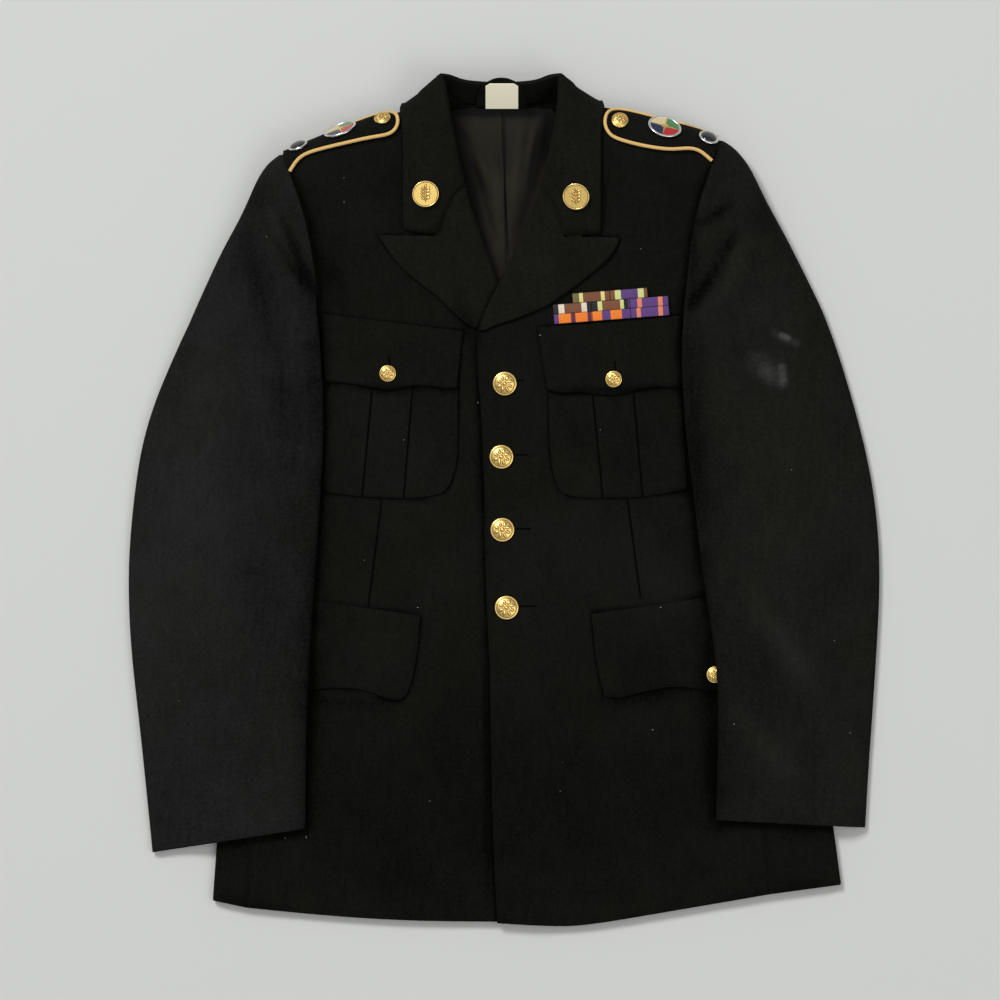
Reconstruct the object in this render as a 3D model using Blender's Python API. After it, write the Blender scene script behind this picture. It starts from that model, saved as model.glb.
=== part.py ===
"""Military dress tunic, buttoned and laid flat on its back, front up.

Frame: metres, +Z up, +Y towards the collar, +X towards the wearer's left sleeve. The tunic lies on
z = 0. Sizes below are millimetres, and MM turns them into metres when a mesh is made. Every piece of
cloth is a closed wall: a grid of points on its outer face, and the same grid moved in by the wall.
"""

import math

import bpy
import numpy as np
from mathutils import Vector
from mathutils.bvhtree import BVHTree

MM = 0.001
CENTRE = (-0.8, -1.3)   # x, y in these tables of the middle of the whole, which is put at the origin

# Driving dimensions
CLOTH = 2.5             # wall of the body and sleeves: serge, canvas and hem together
TURNED_CLOTH = 2.5      # wall of a lapel or the collar
FLAP_CLOTH = 2.0
POCKET_CLOTH = 1.6
PLEAT_RISE = 1.0        # the box pleat stands this far above its pocket
LINING_CLOTH = 1.0
SEAM = 0.3              # gap between two pieces sewn edge to edge
LAY = 0.4               # gap under a piece that lies on another
BODY_HEIGHT = 8.5       # back, air and front together from hem to waist
CHEST_START = 100.0     # y where the front starts to rise to the shoulders
CHEST_RUN = 225.0       # length of that rise
CHEST_POWER = 1.8
SOFT_WAVE = 0.35        # the fronts are never quite flat: height of their soft waves
NECK_CREST = 34.0       # height of the front beside the neck
PAD_CREST = 50.0        # height of the front on the shoulder pads
RIDGE_TOP = 42.0        # how far in from the shoulder line its upper rounding starts
RIDGE_UNDER = 22.0      # the same for the back, under it
SHOULDER_COS = 0.93     # cosine of the shoulder line's slope
COLLAR_LIFT = 3.6       # the back rises this far over the collar's fall, which lies under it
UNDER_EDGE = 21.0       # x of the right front's edge, hidden under the left front
FOLD_RADIUS = 1.0       # inside a lapel's turn
FOLD_MIDDLE = 2.2       # of the middle of the cloth where the collar turns
ROLL_INSET = 3.8        # a front ends this far short of its roll line, inside the turned lapel
BACK_NECK_Y = 373.5     # where the back ends below the collar's stand

BUTTON_LARGE = 11.4     # radius of a 36-line front button
BUTTON_SMALL = 7.9      # radius of a 25-line button
DISC_RADIUS = 12.7      # collar disc, 25.4 across
STRAP_WIDTH = 37.0
STRAP_CLOTH = 2.6
STRAP_LIFT = 0.9        # from the shoulder to the strap
STRAP_TIP = 18.0        # length of the strap's rounded neck end
PIPING_RADIUS = 1.9
RIBBON_HEIGHT = 9.2     # one row of ribbon
RACK_DEPTH = 3.0

# Shoulder line of the body cloth: x, y
SHOULDER_RIGHT = ((-216, 322.5), (-208, 326.5), (-173, 341), (-142, 353), (-124, 360), (-108, 364),
                  (-100, 366), (-85, 370), (-70, 374), (-50, 379))
SHOULDER_LEFT = ((45, 380), (70, 375), (88, 371.5), (106, 368), (118, 366.5), (140, 361),
                 (168, 353), (185, 346), (201, 339.5), (212, 334))
# Armhole seam on the front, from the side seam up to the shoulder: x, y
ARMHOLE_RIGHT = ((-240, 140), (-214, 151), (-192, 163), (-177.7, 176.7), (-178.6, 210),
                 (-184, 243), (-188, 263), (-195, 287), (-203, 307), (-209, 326))
ARMHOLE_LEFT = ((238, 140), (211, 150), (186, 161), (169.1, 174), (171, 198.5), (174.8, 236.5),
                (177.7, 258.4), (183.3, 283), (193.3, 309.7), (201, 339.5))
# Seam between front and side panel, hem to armhole: x, y
SIDE_SEAM_RIGHT = ((-243, -387), (-240, -333), (-231, -200), (-222, -58), (-228, 46), (-240, 140))
SIDE_SEAM_LEFT = ((251.5, -374), (246, -320), (236, -200), (226, -58), (230, 46), (238, 140))
# Fold at the side of the body: x, y
SIDE_FOLD_RIGHT = ((-277, -380), (-273.6, -332), (-269, -267), (-264, -172), (-260, -58), (-263, 46),
                   (-270, 139))
SIDE_FOLD_LEFT = ((318.5, -365), (311.6, -312), (305, -267), (290, -172), (270, -58), (266, 46),
                  (270, 139))
# Hems of the two fronts, from the front edge outwards: x, y
HEM_RIGHT = ((21, -400.5), (-14, -400), (-90, -399), (-166, -394.5), (-243, -387))
HEM_LEFT = ((-7.5, -401.5), (38, -404), (78, -403), (170, -388), (251.5, -374))
# Front edge of the left front, hem to the break: x, y
FRONT_EDGE = ((-7.5, -401.5), (-9.5, -370), (-11.8, -311.6), (-13.8, -267), (-13.3, -181.4),
              (-17.6, -99.8), (-19.4, -46.5), (-19.9, 26.6), (-21.8, 72.2), (-24.7, 113), (-28.5, 136),
              (-28.5, 148))
# Above the break the edge steps in under the lapel: x, y
FRONT_BREAK = ((-28.5, 148), (-27.6, 153), (-22.8, 157))
# Roll lines of the lapels, break to gorge, and on to the neck: x, y
ROLL_RIGHT = ((24.7, 148), (12, 172), (-6.1, 204.2), (-19, 239), (-31.3, 273.6), (-37, 293.6))
ROLL_LEFT = ((-28.5, 148), (-22.8, 168.2), (-6.6, 202.3), (3, 221), (17.6, 253.6), (26, 274),
             (32.3, 290))
NECK_RIGHT = ((-42.8, 315.4), (-51.3, 367), (-54, 378))
NECK_LEFT = ((38.9, 322.5), (50, 367), (52, 378.5))
# Outer edge of each lapel, break to tip: x, y
LAPEL_EDGE_RIGHT = ((11, 159), (-10, 158), (-26.6, 159.6), (-35, 164), (-54, 182), (-73, 200),
                    (-89.3, 209), (-119.7, 245.5))
LAPEL_EDGE_LEFT = ((-19.6, 160.0), (-15.5, 163.2), (8.5, 170), (36.1, 181), (62.7, 198.5),
                   (99.8, 228), (110.2, 242))
# Top of each lapel, from the roll line along the gorge to the tip: x, y
LAPEL_TOP_RIGHT = ((-37, 293.6), (-40.9, 290.2), (-49.4, 285), (-54.1, 269.8), (-61.8, 248.7),
                   (-81, 249), (-100, 249.3), (-119.7, 249.5))
LAPEL_TOP_LEFT = ((32.3, 290), (35.1, 287.2), (43.7, 283), (48.5, 268.8), (56.2, 247.6),
                  (73, 247.8), (90, 247.9), (108.3, 247))
# How far along its top each of those points lies, which sets a lapel's columns
LAPEL_COLUMNS = (0.0, 0.046, 0.135, 0.277, 0.475, 0.65, 0.82, 1.0)

# Collar, one row for each rung from the gorge to the centre back. fold: where the collar turns over.
# edge: the fall's outer edge. tuck: 1 lies out flat, more drops first and then turns under.
# reach, foot: how far inside the fold the stand's seam lies, and its height.
# fold_x, fold_y, fold_z, edge_x, edge_y, edge_z, tuck, reach, foot
COLLAR_RIGHT = (
    (-45.0, 312, 37.0, -96.0, 274, 34.0, 1.0, 0.0, 29.0),
    (-49.5, 334, 40.5, -96.0, 300, 38.0, 1.0, 0.0, 31.0),
    (-53.5, 357, 43.0, -96.0, 326, 42.0, 1.0, 0.0, 33.0),
    (-57.5, 378, 44.5, -96.5, 346, 42.5, 1.0, 0.2, 32.0),
    (-59.5, 391, 45.0, -98.0, 359, 36.5, 1.0, 0.8, 30.0),
    (-60.5, 401, 44.0, -99.5, 368.5, 25.5, 1.1, 3.0, 25.0),
    (-52.0, 400, 41.5, -97.0, 373.5, 13.5, 1.3, 8.0, 18.0),
    (-45.0, 396.8, 39.5, -92.0, 366.0, 3.6, 2.2, 12.0, 13.0),
    (-38.0, 394.5, 37.5, -74.0, 356, 1.25, 4.5, 15.5, 9.5),
    (-21.0, 393.0, 35.0, -38.0, 348, 1.25, 5.0, 17.5, 7.6),
)
COLLAR_LEFT = (
    (40.5, 309, 37.0, 90.3, 270, 34.0, 1.0, 0.0, 29.0),
    (46.0, 332, 40.5, 90.3, 298, 38.0, 1.0, 0.0, 31.0),
    (51.0, 356, 43.0, 90.3, 326, 42.0, 1.0, 0.0, 33.0),
    (53.5, 379, 44.5, 90.8, 347, 42.5, 1.0, 0.2, 32.0),
    (54.0, 392, 45.0, 92.0, 360, 36.5, 1.0, 0.8, 30.0),
    (52.5, 401, 44.0, 94.0, 370.5, 25.5, 1.1, 3.0, 25.0),
    (42.0, 400, 41.5, 91.5, 376, 13.5, 1.3, 8.0, 18.0),
    (35.0, 396.8, 39.5, 86.0, 369.0, 3.6, 2.2, 12.0, 13.0),
    (29.0, 394.5, 37.5, 67.0, 358, 1.25, 4.5, 15.5, 9.5),
    (14.0, 393.0, 35.0, 31.0, 348, 1.25, 5.0, 17.5, 7.6),
)
COLLAR_BACK = (-3.5, 392.5, 34.5, -3.5, 346, 1.25, 5.0, 18.0, 7.3)
# Front end of the fall: from the roll line along the gorge, then the collar's short front edge: x, y
COLLAR_END_RIGHT = ((-40.5, 296), (-42.6, 293.2), (-50.2, 286.2), (-54.6, 270.4), (-61.9, 250),
                    (-79, 252.5), (-96, 255))
COLLAR_END_LEFT = ((36.0, 293), (37.8, 290.2), (44.6, 284.2), (49.2, 269.2), (56.4, 248.9),
                   (73, 250.6), (90.3, 252))
COLLAR_COLUMNS = (0.0, 0.07, 0.18, 0.36, 0.61, 0.8, 1.0)

# Rows of the body panels, as fractions from hem to armhole, and from there to the shoulder line
LOW_ROWS = (0.0, 0.16, 0.30, 0.43, 0.55, 0.66, 0.77, 0.89, 1.0)
HIGH_ROWS = (0.0, 0.05, 0.13, 0.22, 0.325, 0.43, 0.53, 0.63, 0.72, 0.805, 0.887, 0.954, 0.988, 1.0)

# Sleeve head, one row for each row of the front's armhole from the shoulder down.
# row: its fraction in HIGH_ROWS. mid, out: thickness at the middle and near the outer fold.
# row, out_x, out_y, mid, out
HEAD_LEFT = (
    (1.000, 205.8, 338.8, 0, 0),
    (0.988, 211.5, 335.8, 18, 14),
    (0.954, 221.0, 328.5, 31, 26),
    (0.887, 232.8, 312.6, 38, 31),
    (0.805, 241.5, 293.0, 37, 31),
    (0.720, 250.5, 275.5, 34, 28),
    (0.630, 261.0, 257.0, 30, 24.5),
    (0.530, 272.0, 236.0, 26, 21),
    (0.430, 284.5, 211.0, 23.5, 18),
    (0.325, 298.0, 183.5, 21, 16),
)
HEAD_RIGHT = (
    (1.000, -213.4, 325.4, 0, 0),
    (0.988, -218.3, 321.8, 18, 14),
    (0.954, -225.5, 316.0, 31, 26),
    (0.887, -233.6, 304.0, 38, 31),
    (0.805, -240.5, 288.5, 37, 31),
    (0.720, -248.5, 270.0, 34, 28),
    (0.630, -258.0, 252.5, 30, 24.5),
    (0.530, -269.0, 232.5, 26, 21),
    (0.430, -281.0, 206.5, 23.5, 18),
    (0.325, -295.0, 175.5, 21, 16),
)
# Rest of each sleeve, underarm to cuff, from inner fold to outer fold. extra: its inner half lifts
# this much over what lies under it. mid, out: thickness at the inner and the outer half.
# in_x, in_y, out_x, out_y, extra, mid, out
SLEEVE_LEFT = (
    (168.3, 163, 302.5, 173.0, 0.0, 12.5, 15.0),
    (167.4, 153, 307.0, 161.0, 0.0, 11.5, 13.5),
    (167.0, 132, 314.8, 140.0, 0.0, 10.5, 12.0),
    (168.2, 100.7, 327.5, 99.0, 0.0, 9.5, 10.5),
    (171.9, 54, 340.0, 53.0, 0.0, 9.0, 9.5),
    (178.6, 4, 350.0, 4.0, 0.0, 8.7, 9.2),
    (184.5, -55, 355.0, -50.0, 0.0, 8.7, 9.2),
    (192.0, -103, 354.4, -100.0, 4.0, 8.7, 9.2),
    (199.5, -150, 351.5, -148.0, 8.8, 8.7, 9.0),
    (202.3, -200, 348.0, -203.0, 8.0, 8.7, 9.0),
    (201.0, -255, 344.0, -256.0, 0.4, 8.5, 8.5),
    (199.5, -304, 341.0, -311.0, 0.4, 8.2, 8.2),
)
SLEEVE_RIGHT = (
    (-176.8, 167, -299.5, 164.5, 0.0, 12.5, 15.0),
    (-175.6, 156, -306.0, 151.5, 0.0, 11.5, 13.5),
    (-174.0, 135, -315.4, 130.0, 0.0, 10.5, 12.0),
    (-171.5, 100, -330.0, 97.0, 0.0, 9.5, 10.5),
    (-171.5, 54, -344.0, 53.0, 0.0, 9.0, 9.5),
    (-174.0, 10, -351.0, 5.0, 0.0, 8.7, 9.2),
    (-178.0, -50, -356.4, -50.0, 0.0, 8.7, 9.2),
    (-181.8, -100, -356.6, -100.0, 4.0, 8.7, 9.2),
    (-184.5, -150, -353.6, -150.0, 8.8, 8.7, 9.0),
    (-187.8, -205, -347.0, -205.0, 8.0, 8.7, 9.0),
    (-188.5, -262, -340.5, -266.0, 0.4, 8.5, 8.5),
    (-189.0, -312, -333.7, -334.5, 0.4, 8.2, 8.2),
)
# Soft folds of the upper sleeves. Each runs from one point to another, and rises or sinks by height
# over about its width to each side.
# from_x, from_y, to_x, to_y, width, height
SLEEVE_FOLDS = (
    (-241.3, 243.2, -228.0, 176.7, 15.0, -2.0),
    (-228.0, 176.7, -210.9, 110.2, 15.0, -1.6),
    (-210.9, 110.2, -201.4, 32.3, 15.0, -1.2),
    (-258.0, 205.0, -245.0, 90.0, 18.0, 1.6),
    (-212.8, 253.7, -190.0, 205.0, 9.0, -1.8),
    (211.9, 243.2, 178.0, 182.0, 9.0, -1.8),
    (236.0, 236.0, 214.0, 160.0, 15.0, 1.6),
    (262.0, 60.0, 250.0, -40.0, 20.0, 1.0),
    (229.9, -96.0, 290.7, -173.9, 13.0, -1.4),
    (215.2, -211.9, 273.6, -264.6, 12.0, -1.1),
    (-290.0, 30.0, -296.0, -90.0, 22.0, 1.0),
    (-240.0, -120.0, -290.0, -200.0, 16.0, -1.0),
)
UNDERARM_SHIFT = 31.0   # the under sleeve's first row below the armhole starts this far out
UNDERARM_HEIGHT = 12.6

# Breast pockets and flaps. Corners and edges: x, y
POCKET_RIGHT_SIDES = {
    "top": ((-173, 162), (-44.5, 146)),
    "outer": ((-172.5, 6.5), (-171, 88), (-173, 162)),
    "inner": ((-53.5, 9), (-45.8, 27), (-44.5, 104), (-44.5, 146)),
    "bottom": ((-172.5, 6.5), (-135, 2.3), (-97, 0.5), (-67.5, 2.8), (-53.5, 9)),
    "pleat": ((-135.2, 2.8, -125.7, 103.5), (-95.9, 0.9, -87.4, 106.4)),
}
POCKET_LEFT_SIDES = {
    "top": ((38, 150), (165.5, 160)),
    "outer": ((49.5, 10.5), (43.7, 27), (40.9, 100.7), (38, 150)),
    "inner": ((172, 9.5), (168.5, 80), (166.5, 120), (165.5, 160)),
    "bottom": ((49.5, 10.5), (60, 2.2), (92, 0.9), (130, 1.9), (149, 4.8), (172, 9.5)),
    "pleat": ((92.5, 0.9, 83.1, 97.8), (130.2, 1.9, 121.6, 100.7)),
}
BREAST_FLAP_RIGHT = {
    "top": ((-173.2, 175.4), (-39.9, 158.7)),
    "left": ((-171.2, 111), (-173.2, 175.4)),
    "right": ((-46, 105), (-39.9, 158.7)),
    "bottom": ((-171.2, 111), (-153, 110.2), (-131, 106.6), (-117, 103.8), (-110, 103.2),
               (-103, 104), (-85.5, 108), (-67.5, 106.6), (-53, 104), (-46, 105)),
}
BREAST_FLAP_LEFT = {
    "top": ((31.3, 162.4), (165.8, 173.5)),
    "left": ((40.5, 103.5), (36, 128), (31.3, 162.4)),
    "right": ((167, 105), (165.8, 173.5)),
    "bottom": ((40.5, 103.5), (49, 99.9), (70.8, 101.4), (88.9, 99.2), (101.6, 98.2), (114, 100.5),
               (131, 105.2), (149, 106.4), (167, 105)),
}
HIP_FLAP_RIGHT = {
    "top": ((-222, -90), (-80.3, -110.6)),
    "left": ((-222, -178), (-222, -90)),
    "right": ((-92, -187), (-87.4, -172.9), (-83, -145), (-80.3, -110.6)),
    "bottom": ((-222, -178), (-209, -180.5), (-197, -182.4), (-184, -181), (-162, -178.6),
               (-143, -179.5), (-125, -183.5), (-113, -189), (-102, -191.5), (-92, -187)),
}
HIP_FLAP_LEFT = {
    "top": ((81.7, -108.9), (222, -88.5)),
    "left": ((94, -186.5), (90, -175), (86.5, -154), (81.7, -108.9)),
    "right": ((222, -178), (222, -88.5)),
    "bottom": ((94, -186.5), (103, -189), (111, -188), (131, -182.4), (158, -177.7), (176, -178.6),
               (197, -182.6), (209, -180.5), (222, -178)),
}

# Buttons, discs and shoulder strap metal: x, y
FRONT_BUTTONS = ((-0.3, 109.3), (-3.4, 39.9), (-2.5, -29.1), (1.5, -102.8))
BREAST_BUTTONS = {"left": (102.7, 113.5), "right": (-111.0, 118.8)}
HIP_BUTTONS = {"left": (198.5, -166.2), "right": (-198.5, -166.2)}
COLLAR_DISCS = {"left": (67.2, 285.9), "right": (-75.3, 288.4)}
# Shoulder straps: x of the neck end and of the sleeve end, then of button, badge and stud. across:
# how far each of those three sits from the inner edge, measured over the shoulder. inner: at
# some distances from the neck end, how far in plan the inner edge lies from the shoulder line.
# slant: how much further the inner edge runs, as the sleeve end follows the armhole.
STRAPS = {
    "left": {"neck": 94.6, "sleeve": 200.0, "button": 109.7, "badge": 152.4, "stud": 192.8,
             "across": (17.9, 22.1, 17.4), "slant": 4.4,
             "inner": ((0, 29.5), (15, 30), (39, 31.4), (53, 30.3), (64, 29.2), (76, 25.6),
                       (85, 20.8), (93, 18), (100, 20.3), (107.8, 23))},
    "right": {"neck": -100.8, "sleeve": -208.0, "button": -116.4, "badge": -155.2, "stud": -194.8,
              "across": (18.2, 18.9, 14.9), "slant": 3.0,
              "inner": ((0, 24.2), (13, 21.9), (30, 19.2), (45, 16.9), (61, 14.8), (77, 12.3),
                        (88, 11.1), (96, 11.8), (103, 15.5), (110, 20))},
}
BADGE_HALF = (16.0, 13.0)
STUD_RADIUS = 9.6

# Ribbon rack: centre, tilt in degrees, and each row's left and right end along it
RACK_CENTRE = (100.0, 183.4)
RACK_TILT = 4.6
RACK_ROWS = ((-54.7, 54.7), (-54.7, 54.7), (-35.6, 35.6))

# Hanging patch and label on the collar stand
PATCH_HALF = 24.0
PATCH_HEIGHT = 45.0
PATCH_CLOTH = 1.2
LABEL_HALF = 15.4
LABEL_TOP = 39.0
LABEL_CLOTH = 0.7
NECK_CENTRE_X = -3.3

# Colours: red, green, blue, roughness, metallic
SERGE = (0.012, 0.013, 0.010, 0.92, 0.0)
LINING = (0.045, 0.040, 0.028, 0.6, 0.0)
PATCH = (0.018, 0.018, 0.014, 0.85, 0.0)
LABEL = (0.82, 0.79, 0.70, 0.7, 0.0)
BRAID = (0.62, 0.40, 0.15, 0.65, 0.0)
GOLD = (0.80, 0.55, 0.16, 0.28, 1.0)
ENAMEL = (0.05, 0.08, 0.25, 0.25, 0.0)
BLACK_METAL = (0.02, 0.02, 0.02, 0.3, 0.6)
RIBBON = (0.45, 0.20, 0.18, 0.75, 0.0)


# Small geometry helpers

def ease(t):
    """Smooth step from 0 to 1."""
    t = np.clip(t, 0.0, 1.0)
    return t * t * (3.0 - 2.0 * t)


def read(points, steps):
    """A polyline read at steps: a count, or fractions of its length in plan."""
    p = np.array(points, float)
    run = np.concatenate([[0], np.cumsum(np.linalg.norm(np.diff(p[:, :2], axis=0), axis=1))])
    at = np.linspace(0, 1, steps) if isinstance(steps, int) else np.asarray(steps)
    return np.column_stack([np.interp(at * run[-1], run, p[:, k]) for k in range(p.shape[1])])


def smooth(points, per_gap):
    """Catmull-Rom points between given points, which may be rows of points."""
    p = np.array(points, float)
    q = np.concatenate([[2 * p[0] - p[1]], p, [2 * p[-1] - p[-2]]])
    found = []
    for a, b, c, d in zip(q, q[1:], q[2:], q[3:]):
        for t in np.linspace(0, 1, per_gap, endpoint=False):
            found.append(0.5 * (2 * b + (c - a) * t + (2 * a - 5 * b + 4 * c - d) * t ** 2
                                + (3 * b - a - 3 * c + d) * t ** 3))
    return np.array(found + [p[-1]])


def curve(points, steps):
    """A smooth curve through points, read at steps: a count, or fractions of its length."""
    return read(smooth(points, 12), steps)


def coons(bottom, top, left, right, columns=None, rows=None):
    """Grid between four edges. left and right run bottom to top; first index runs left to right."""
    u = np.linspace(0, 1, len(bottom)) if columns is None else np.asarray(columns)
    v = np.linspace(0, 1, len(left)) if rows is None else np.asarray(rows)
    u = u[:, None, None]
    v = v[None, :, None]
    rule_u = (1 - u) * left[None] + u * right[None]
    rule_v = (1 - v) * bottom[:, None] + v * top[:, None]
    corners = ((1 - u) * (1 - v) * bottom[0] + u * (1 - v) * bottom[-1]
               + (1 - u) * v * top[0] + u * v * top[-1])
    return rule_u + rule_v - corners


def normals(grid, down=False):
    """Unit normals of a grid of points, up or down as a whole."""
    n = np.cross(np.gradient(grid, axis=0), np.gradient(grid, axis=1))
    n /= np.maximum(np.linalg.norm(n, axis=2, keepdims=True), 1e-9)
    return -n if (n[..., 2].mean() < 0) != down else n


def level_normals(line, toward):
    """Level unit vectors square to a line in plan, on the side of the point toward."""
    t = np.gradient(line, axis=0)
    side = np.column_stack([-t[:, 1], t[:, 0], np.zeros(len(line))])
    side /= np.linalg.norm(side, axis=1)[:, None]
    middle_gap = np.array(toward) - line.mean(axis=0)[:2]
    return side if side.mean(axis=0)[:2] @ middle_gap > 0 else -side


def square_off(n, line):
    """Normals of a seam edge turned into the seam's own wall, so that two walls meet parallel."""
    across = level_normals(line, (0.0, 0.0))
    n = n - (n * across).sum(axis=1)[:, None] * across
    return n / np.linalg.norm(n, axis=1)[:, None]


def with_height(plan, height):
    """Plan points given their height."""
    return np.dstack([plan, height(plan[..., 0], plan[..., 1])])


def make_object(name, verts, faces, colour, smooth_shading=True):
    """One closed mesh object, with its faces pointing out and its own material."""
    verts = (np.asarray(verts, float) - (CENTRE[0], CENTRE[1], 0.0)) * MM
    volume = 0.0
    for face in faces:
        for b, c in zip(face[1:], face[2:]):
            volume += np.dot(verts[face[0]], np.cross(verts[b], verts[c]))
    if volume < 0:
        faces = [tuple(reversed(face)) for face in faces]
    mesh = bpy.data.meshes.new(name)
    mesh.from_pydata([tuple(v) for v in verts], [], [tuple(int(i) for i in f) for f in faces])
    mesh.update()
    obj = bpy.data.objects.new(name, mesh)
    bpy.context.collection.objects.link(obj)
    red, green, blue, roughness, metallic = colour
    material = bpy.data.materials.new(name)
    material.use_nodes = True
    shader = material.node_tree.nodes["Principled BSDF"]
    shader.inputs["Base Color"].default_value = (red, green, blue, 1.0)
    shader.inputs["Roughness"].default_value = roughness
    shader.inputs["Metallic"].default_value = metallic
    material.diffuse_color = (red, green, blue, 1.0)
    mesh.materials.append(material)
    if smooth_shading:
        mesh.shade_smooth()
        mesh.set_sharp_from_angle(angle=math.radians(40))
    return obj


def make_wall(name, one_face, other_face, colour):
    """Closed wall between two grids of the same size."""
    nu, nv = one_face.shape[:2]
    verts = np.vstack([one_face.reshape(-1, 3), other_face.reshape(-1, 3)])
    index = np.arange(nu * nv).reshape(nu, nv)
    back = index + nu * nv
    faces = []
    for i in range(nu - 1):
        for j in range(nv - 1):
            faces.append((index[i, j], index[i + 1, j], index[i + 1, j + 1], index[i, j + 1]))
            faces.append((back[i, j], back[i, j + 1], back[i + 1, j + 1], back[i + 1, j]))
    rim = ([(i, 0) for i in range(nu)] + [(nu - 1, j) for j in range(1, nv)]
           + [(i, nv - 1) for i in range(nu - 2, -1, -1)] + [(0, j) for j in range(nv - 2, 0, -1)])
    for a, b in zip(rim, rim[1:] + rim[:1]):
        faces.append((index[b], index[a], back[a], back[b]))
    return make_object(name, verts, faces, colour)


def make_plate(name, low, high, colour):
    """Flat plate between two outlines of the same length."""
    n = len(low)
    faces = [tuple(reversed(range(n))), tuple(range(n, 2 * n))]
    faces += [(k, (k + 1) % n, n + (k + 1) % n, n + k) for k in range(n)]
    return make_object(name, list(low) + list(high), faces, colour, smooth_shading=False)


def tree_of(name):
    """Search tree of a finished piece, in metres."""
    mesh = bpy.data.objects[name].data
    return BVHTree.FromPolygons([v.co for v in mesh.vertices], [p.vertices for p in mesh.polygons])


def metres(x, y, z):
    """A point of the tables, in metres and centred as the meshes are."""
    return Vector(((x - CENTRE[0]) * MM, (y - CENTRE[1]) * MM, z * MM))


def tops(trees, plan):
    """Height of the highest of some pieces at each plan point; far below where there is none."""
    flat = plan.reshape(-1, 2)
    found = np.full(len(flat), -1000.0)
    for k, (x, y) in enumerate(flat):
        for tree in trees:
            hit = tree.ray_cast(metres(x, y, 200.0), Vector((0, 0, -1)))[0]
            if hit is not None:
                found[k] = max(found[k], hit.z / MM)
    return found.reshape(plan.shape[:2])


def settle(plan, height, names, gap):
    """Grid over this plan that lies a gap above some pieces, also between its points."""
    trees = [tree_of(name) for name in names]
    z = np.maximum(height(plan[..., 0], plan[..., 1]), tops(trees, plan)) + gap
    steps = (0.0, 0.2, 0.4, 0.6, 0.8, 1.0)
    shares = [(u, v) for u in steps for v in steps if u % 1.0 or v % 1.0]

    def between(values, u, v):
        return ((1 - u) * (1 - v) * values[:-1, :-1] + u * (1 - v) * values[1:, :-1]
                + (1 - u) * v * values[:-1, 1:] + u * v * values[1:, 1:])

    floors = [tops(trees, between(plan, u, v)) + gap for u, v in shares]
    for _ in range(4):
        for (u, v), floor in zip(shares, floors):
            short = np.clip(floor - between(z, u, v), 0.0, None)
            z[:-1, :-1] += short * (1 - u) * (1 - v)
            z[1:, :-1] += short * u * (1 - v)
            z[:-1, 1:] += short * (1 - u) * v
            z[1:, 1:] += short * u * v
    return np.dstack([plan, z])


def push_clear(grid, names, clearance):
    """Grid whose points keep this clearance from some pieces."""
    for tree in [tree_of(name) for name in names]:
        for index in np.ndindex(grid.shape[:2]):
            point = metres(*grid[index])
            near, normal, _, distance = tree.find_nearest(point)
            if distance < clearance * MM:
                away = point - near
                away = normal if away.dot(normal) <= 0 else away.normalized()
                moved = (near + away * clearance * MM) / MM
                grid[index] = (moved.x + CENTRE[0], moved.y + CENTRE[1], moved.z)
    return grid


# Heights of the body

def shoulder_y(x):
    """The body's shoulder line."""
    table = np.array(SHOULDER_RIGHT + SHOULDER_LEFT, float)
    return np.interp(x, table[:, 0], table[:, 1])


def pad(x):
    """0 beside the neck to 1 on the shoulder pads."""
    return ease((np.abs(x) - 60.0) / 100.0)


def shoulder_z(x):
    """Height of the shoulder line itself, where front and back are sewn."""
    return 15.0 + 2.0 * pad(x)


def rounding(distance, reach):
    """Quarter ellipse: 0 at an edge, 1 from reach inwards."""
    e = np.clip(1.0 - distance / reach, 0.0, 1.0)
    return np.sqrt(1.0 - e * e)


def body_top(x, y):
    """Outer face of a front, as if there were only one."""
    rise = np.clip((y - CHEST_START) / CHEST_RUN, 0.0, 1.3) ** CHEST_POWER
    crest = NECK_CREST + (PAD_CREST - NECK_CREST) * pad(x)
    high = BODY_HEIGHT + (crest - BODY_HEIGHT) * rise
    high = high + SOFT_WAVE * np.sin(x / 37.0 + y / 83.0) * np.sin(y / 51.0 - x / 110.0)
    distance = (shoulder_y(x) - y) * SHOULDER_COS
    edge = shoulder_z(x) + SEAM / 2
    return np.where(distance < RIDGE_TOP, edge + (high - edge) * rounding(distance, RIDGE_TOP), high)


def lap(x, y):
    """How far the left front is lifted by the right front and lapel that it covers."""
    one = CLOTH + LAY + 0.1
    across = 1.0 - ease((x - 25.0) / 36.0)
    above = 1.0 - ease((y - 200.0) / 50.0)
    return across * above * one * (1.0 + ease((y - 122.0) / 34.0))


def left_top(x, y):
    """Outer face of the left front."""
    return body_top(x, y) + lap(x, y)


def back_under(x, y):
    """Underside of the back panel."""
    across = 1.0 - ease((np.abs(x + 3.0) - 106.0) / 22.0)
    lift = COLLAR_LIFT * ease((y - 300.0) / 36.0) * across
    distance = (shoulder_y(x) - y) * SHOULDER_COS
    ridge = (shoulder_z(x) - SEAM / 2) * (1.0 - rounding(distance, RIDGE_UNDER))
    at_shoulder = ease((np.abs(x + 1.5) - 50.0) / 8.0)
    return np.maximum(lift, ridge * at_shoulder)


# Body panels

def side_line(seam, armhole):
    """A panel's side from hem to shoulder. Panels that meet share these points."""
    return np.vstack([curve(seam, LOW_ROWS), curve(armhole, HIGH_ROWS)[1:]])


def panel_rows():
    """Where the rows of a panel lie between hem and shoulder line, as fractions."""
    low = 0.69
    return np.concatenate([np.array(LOW_ROWS) * low, low + np.array(HIGH_ROWS[1:]) * (1 - low)])


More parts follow.
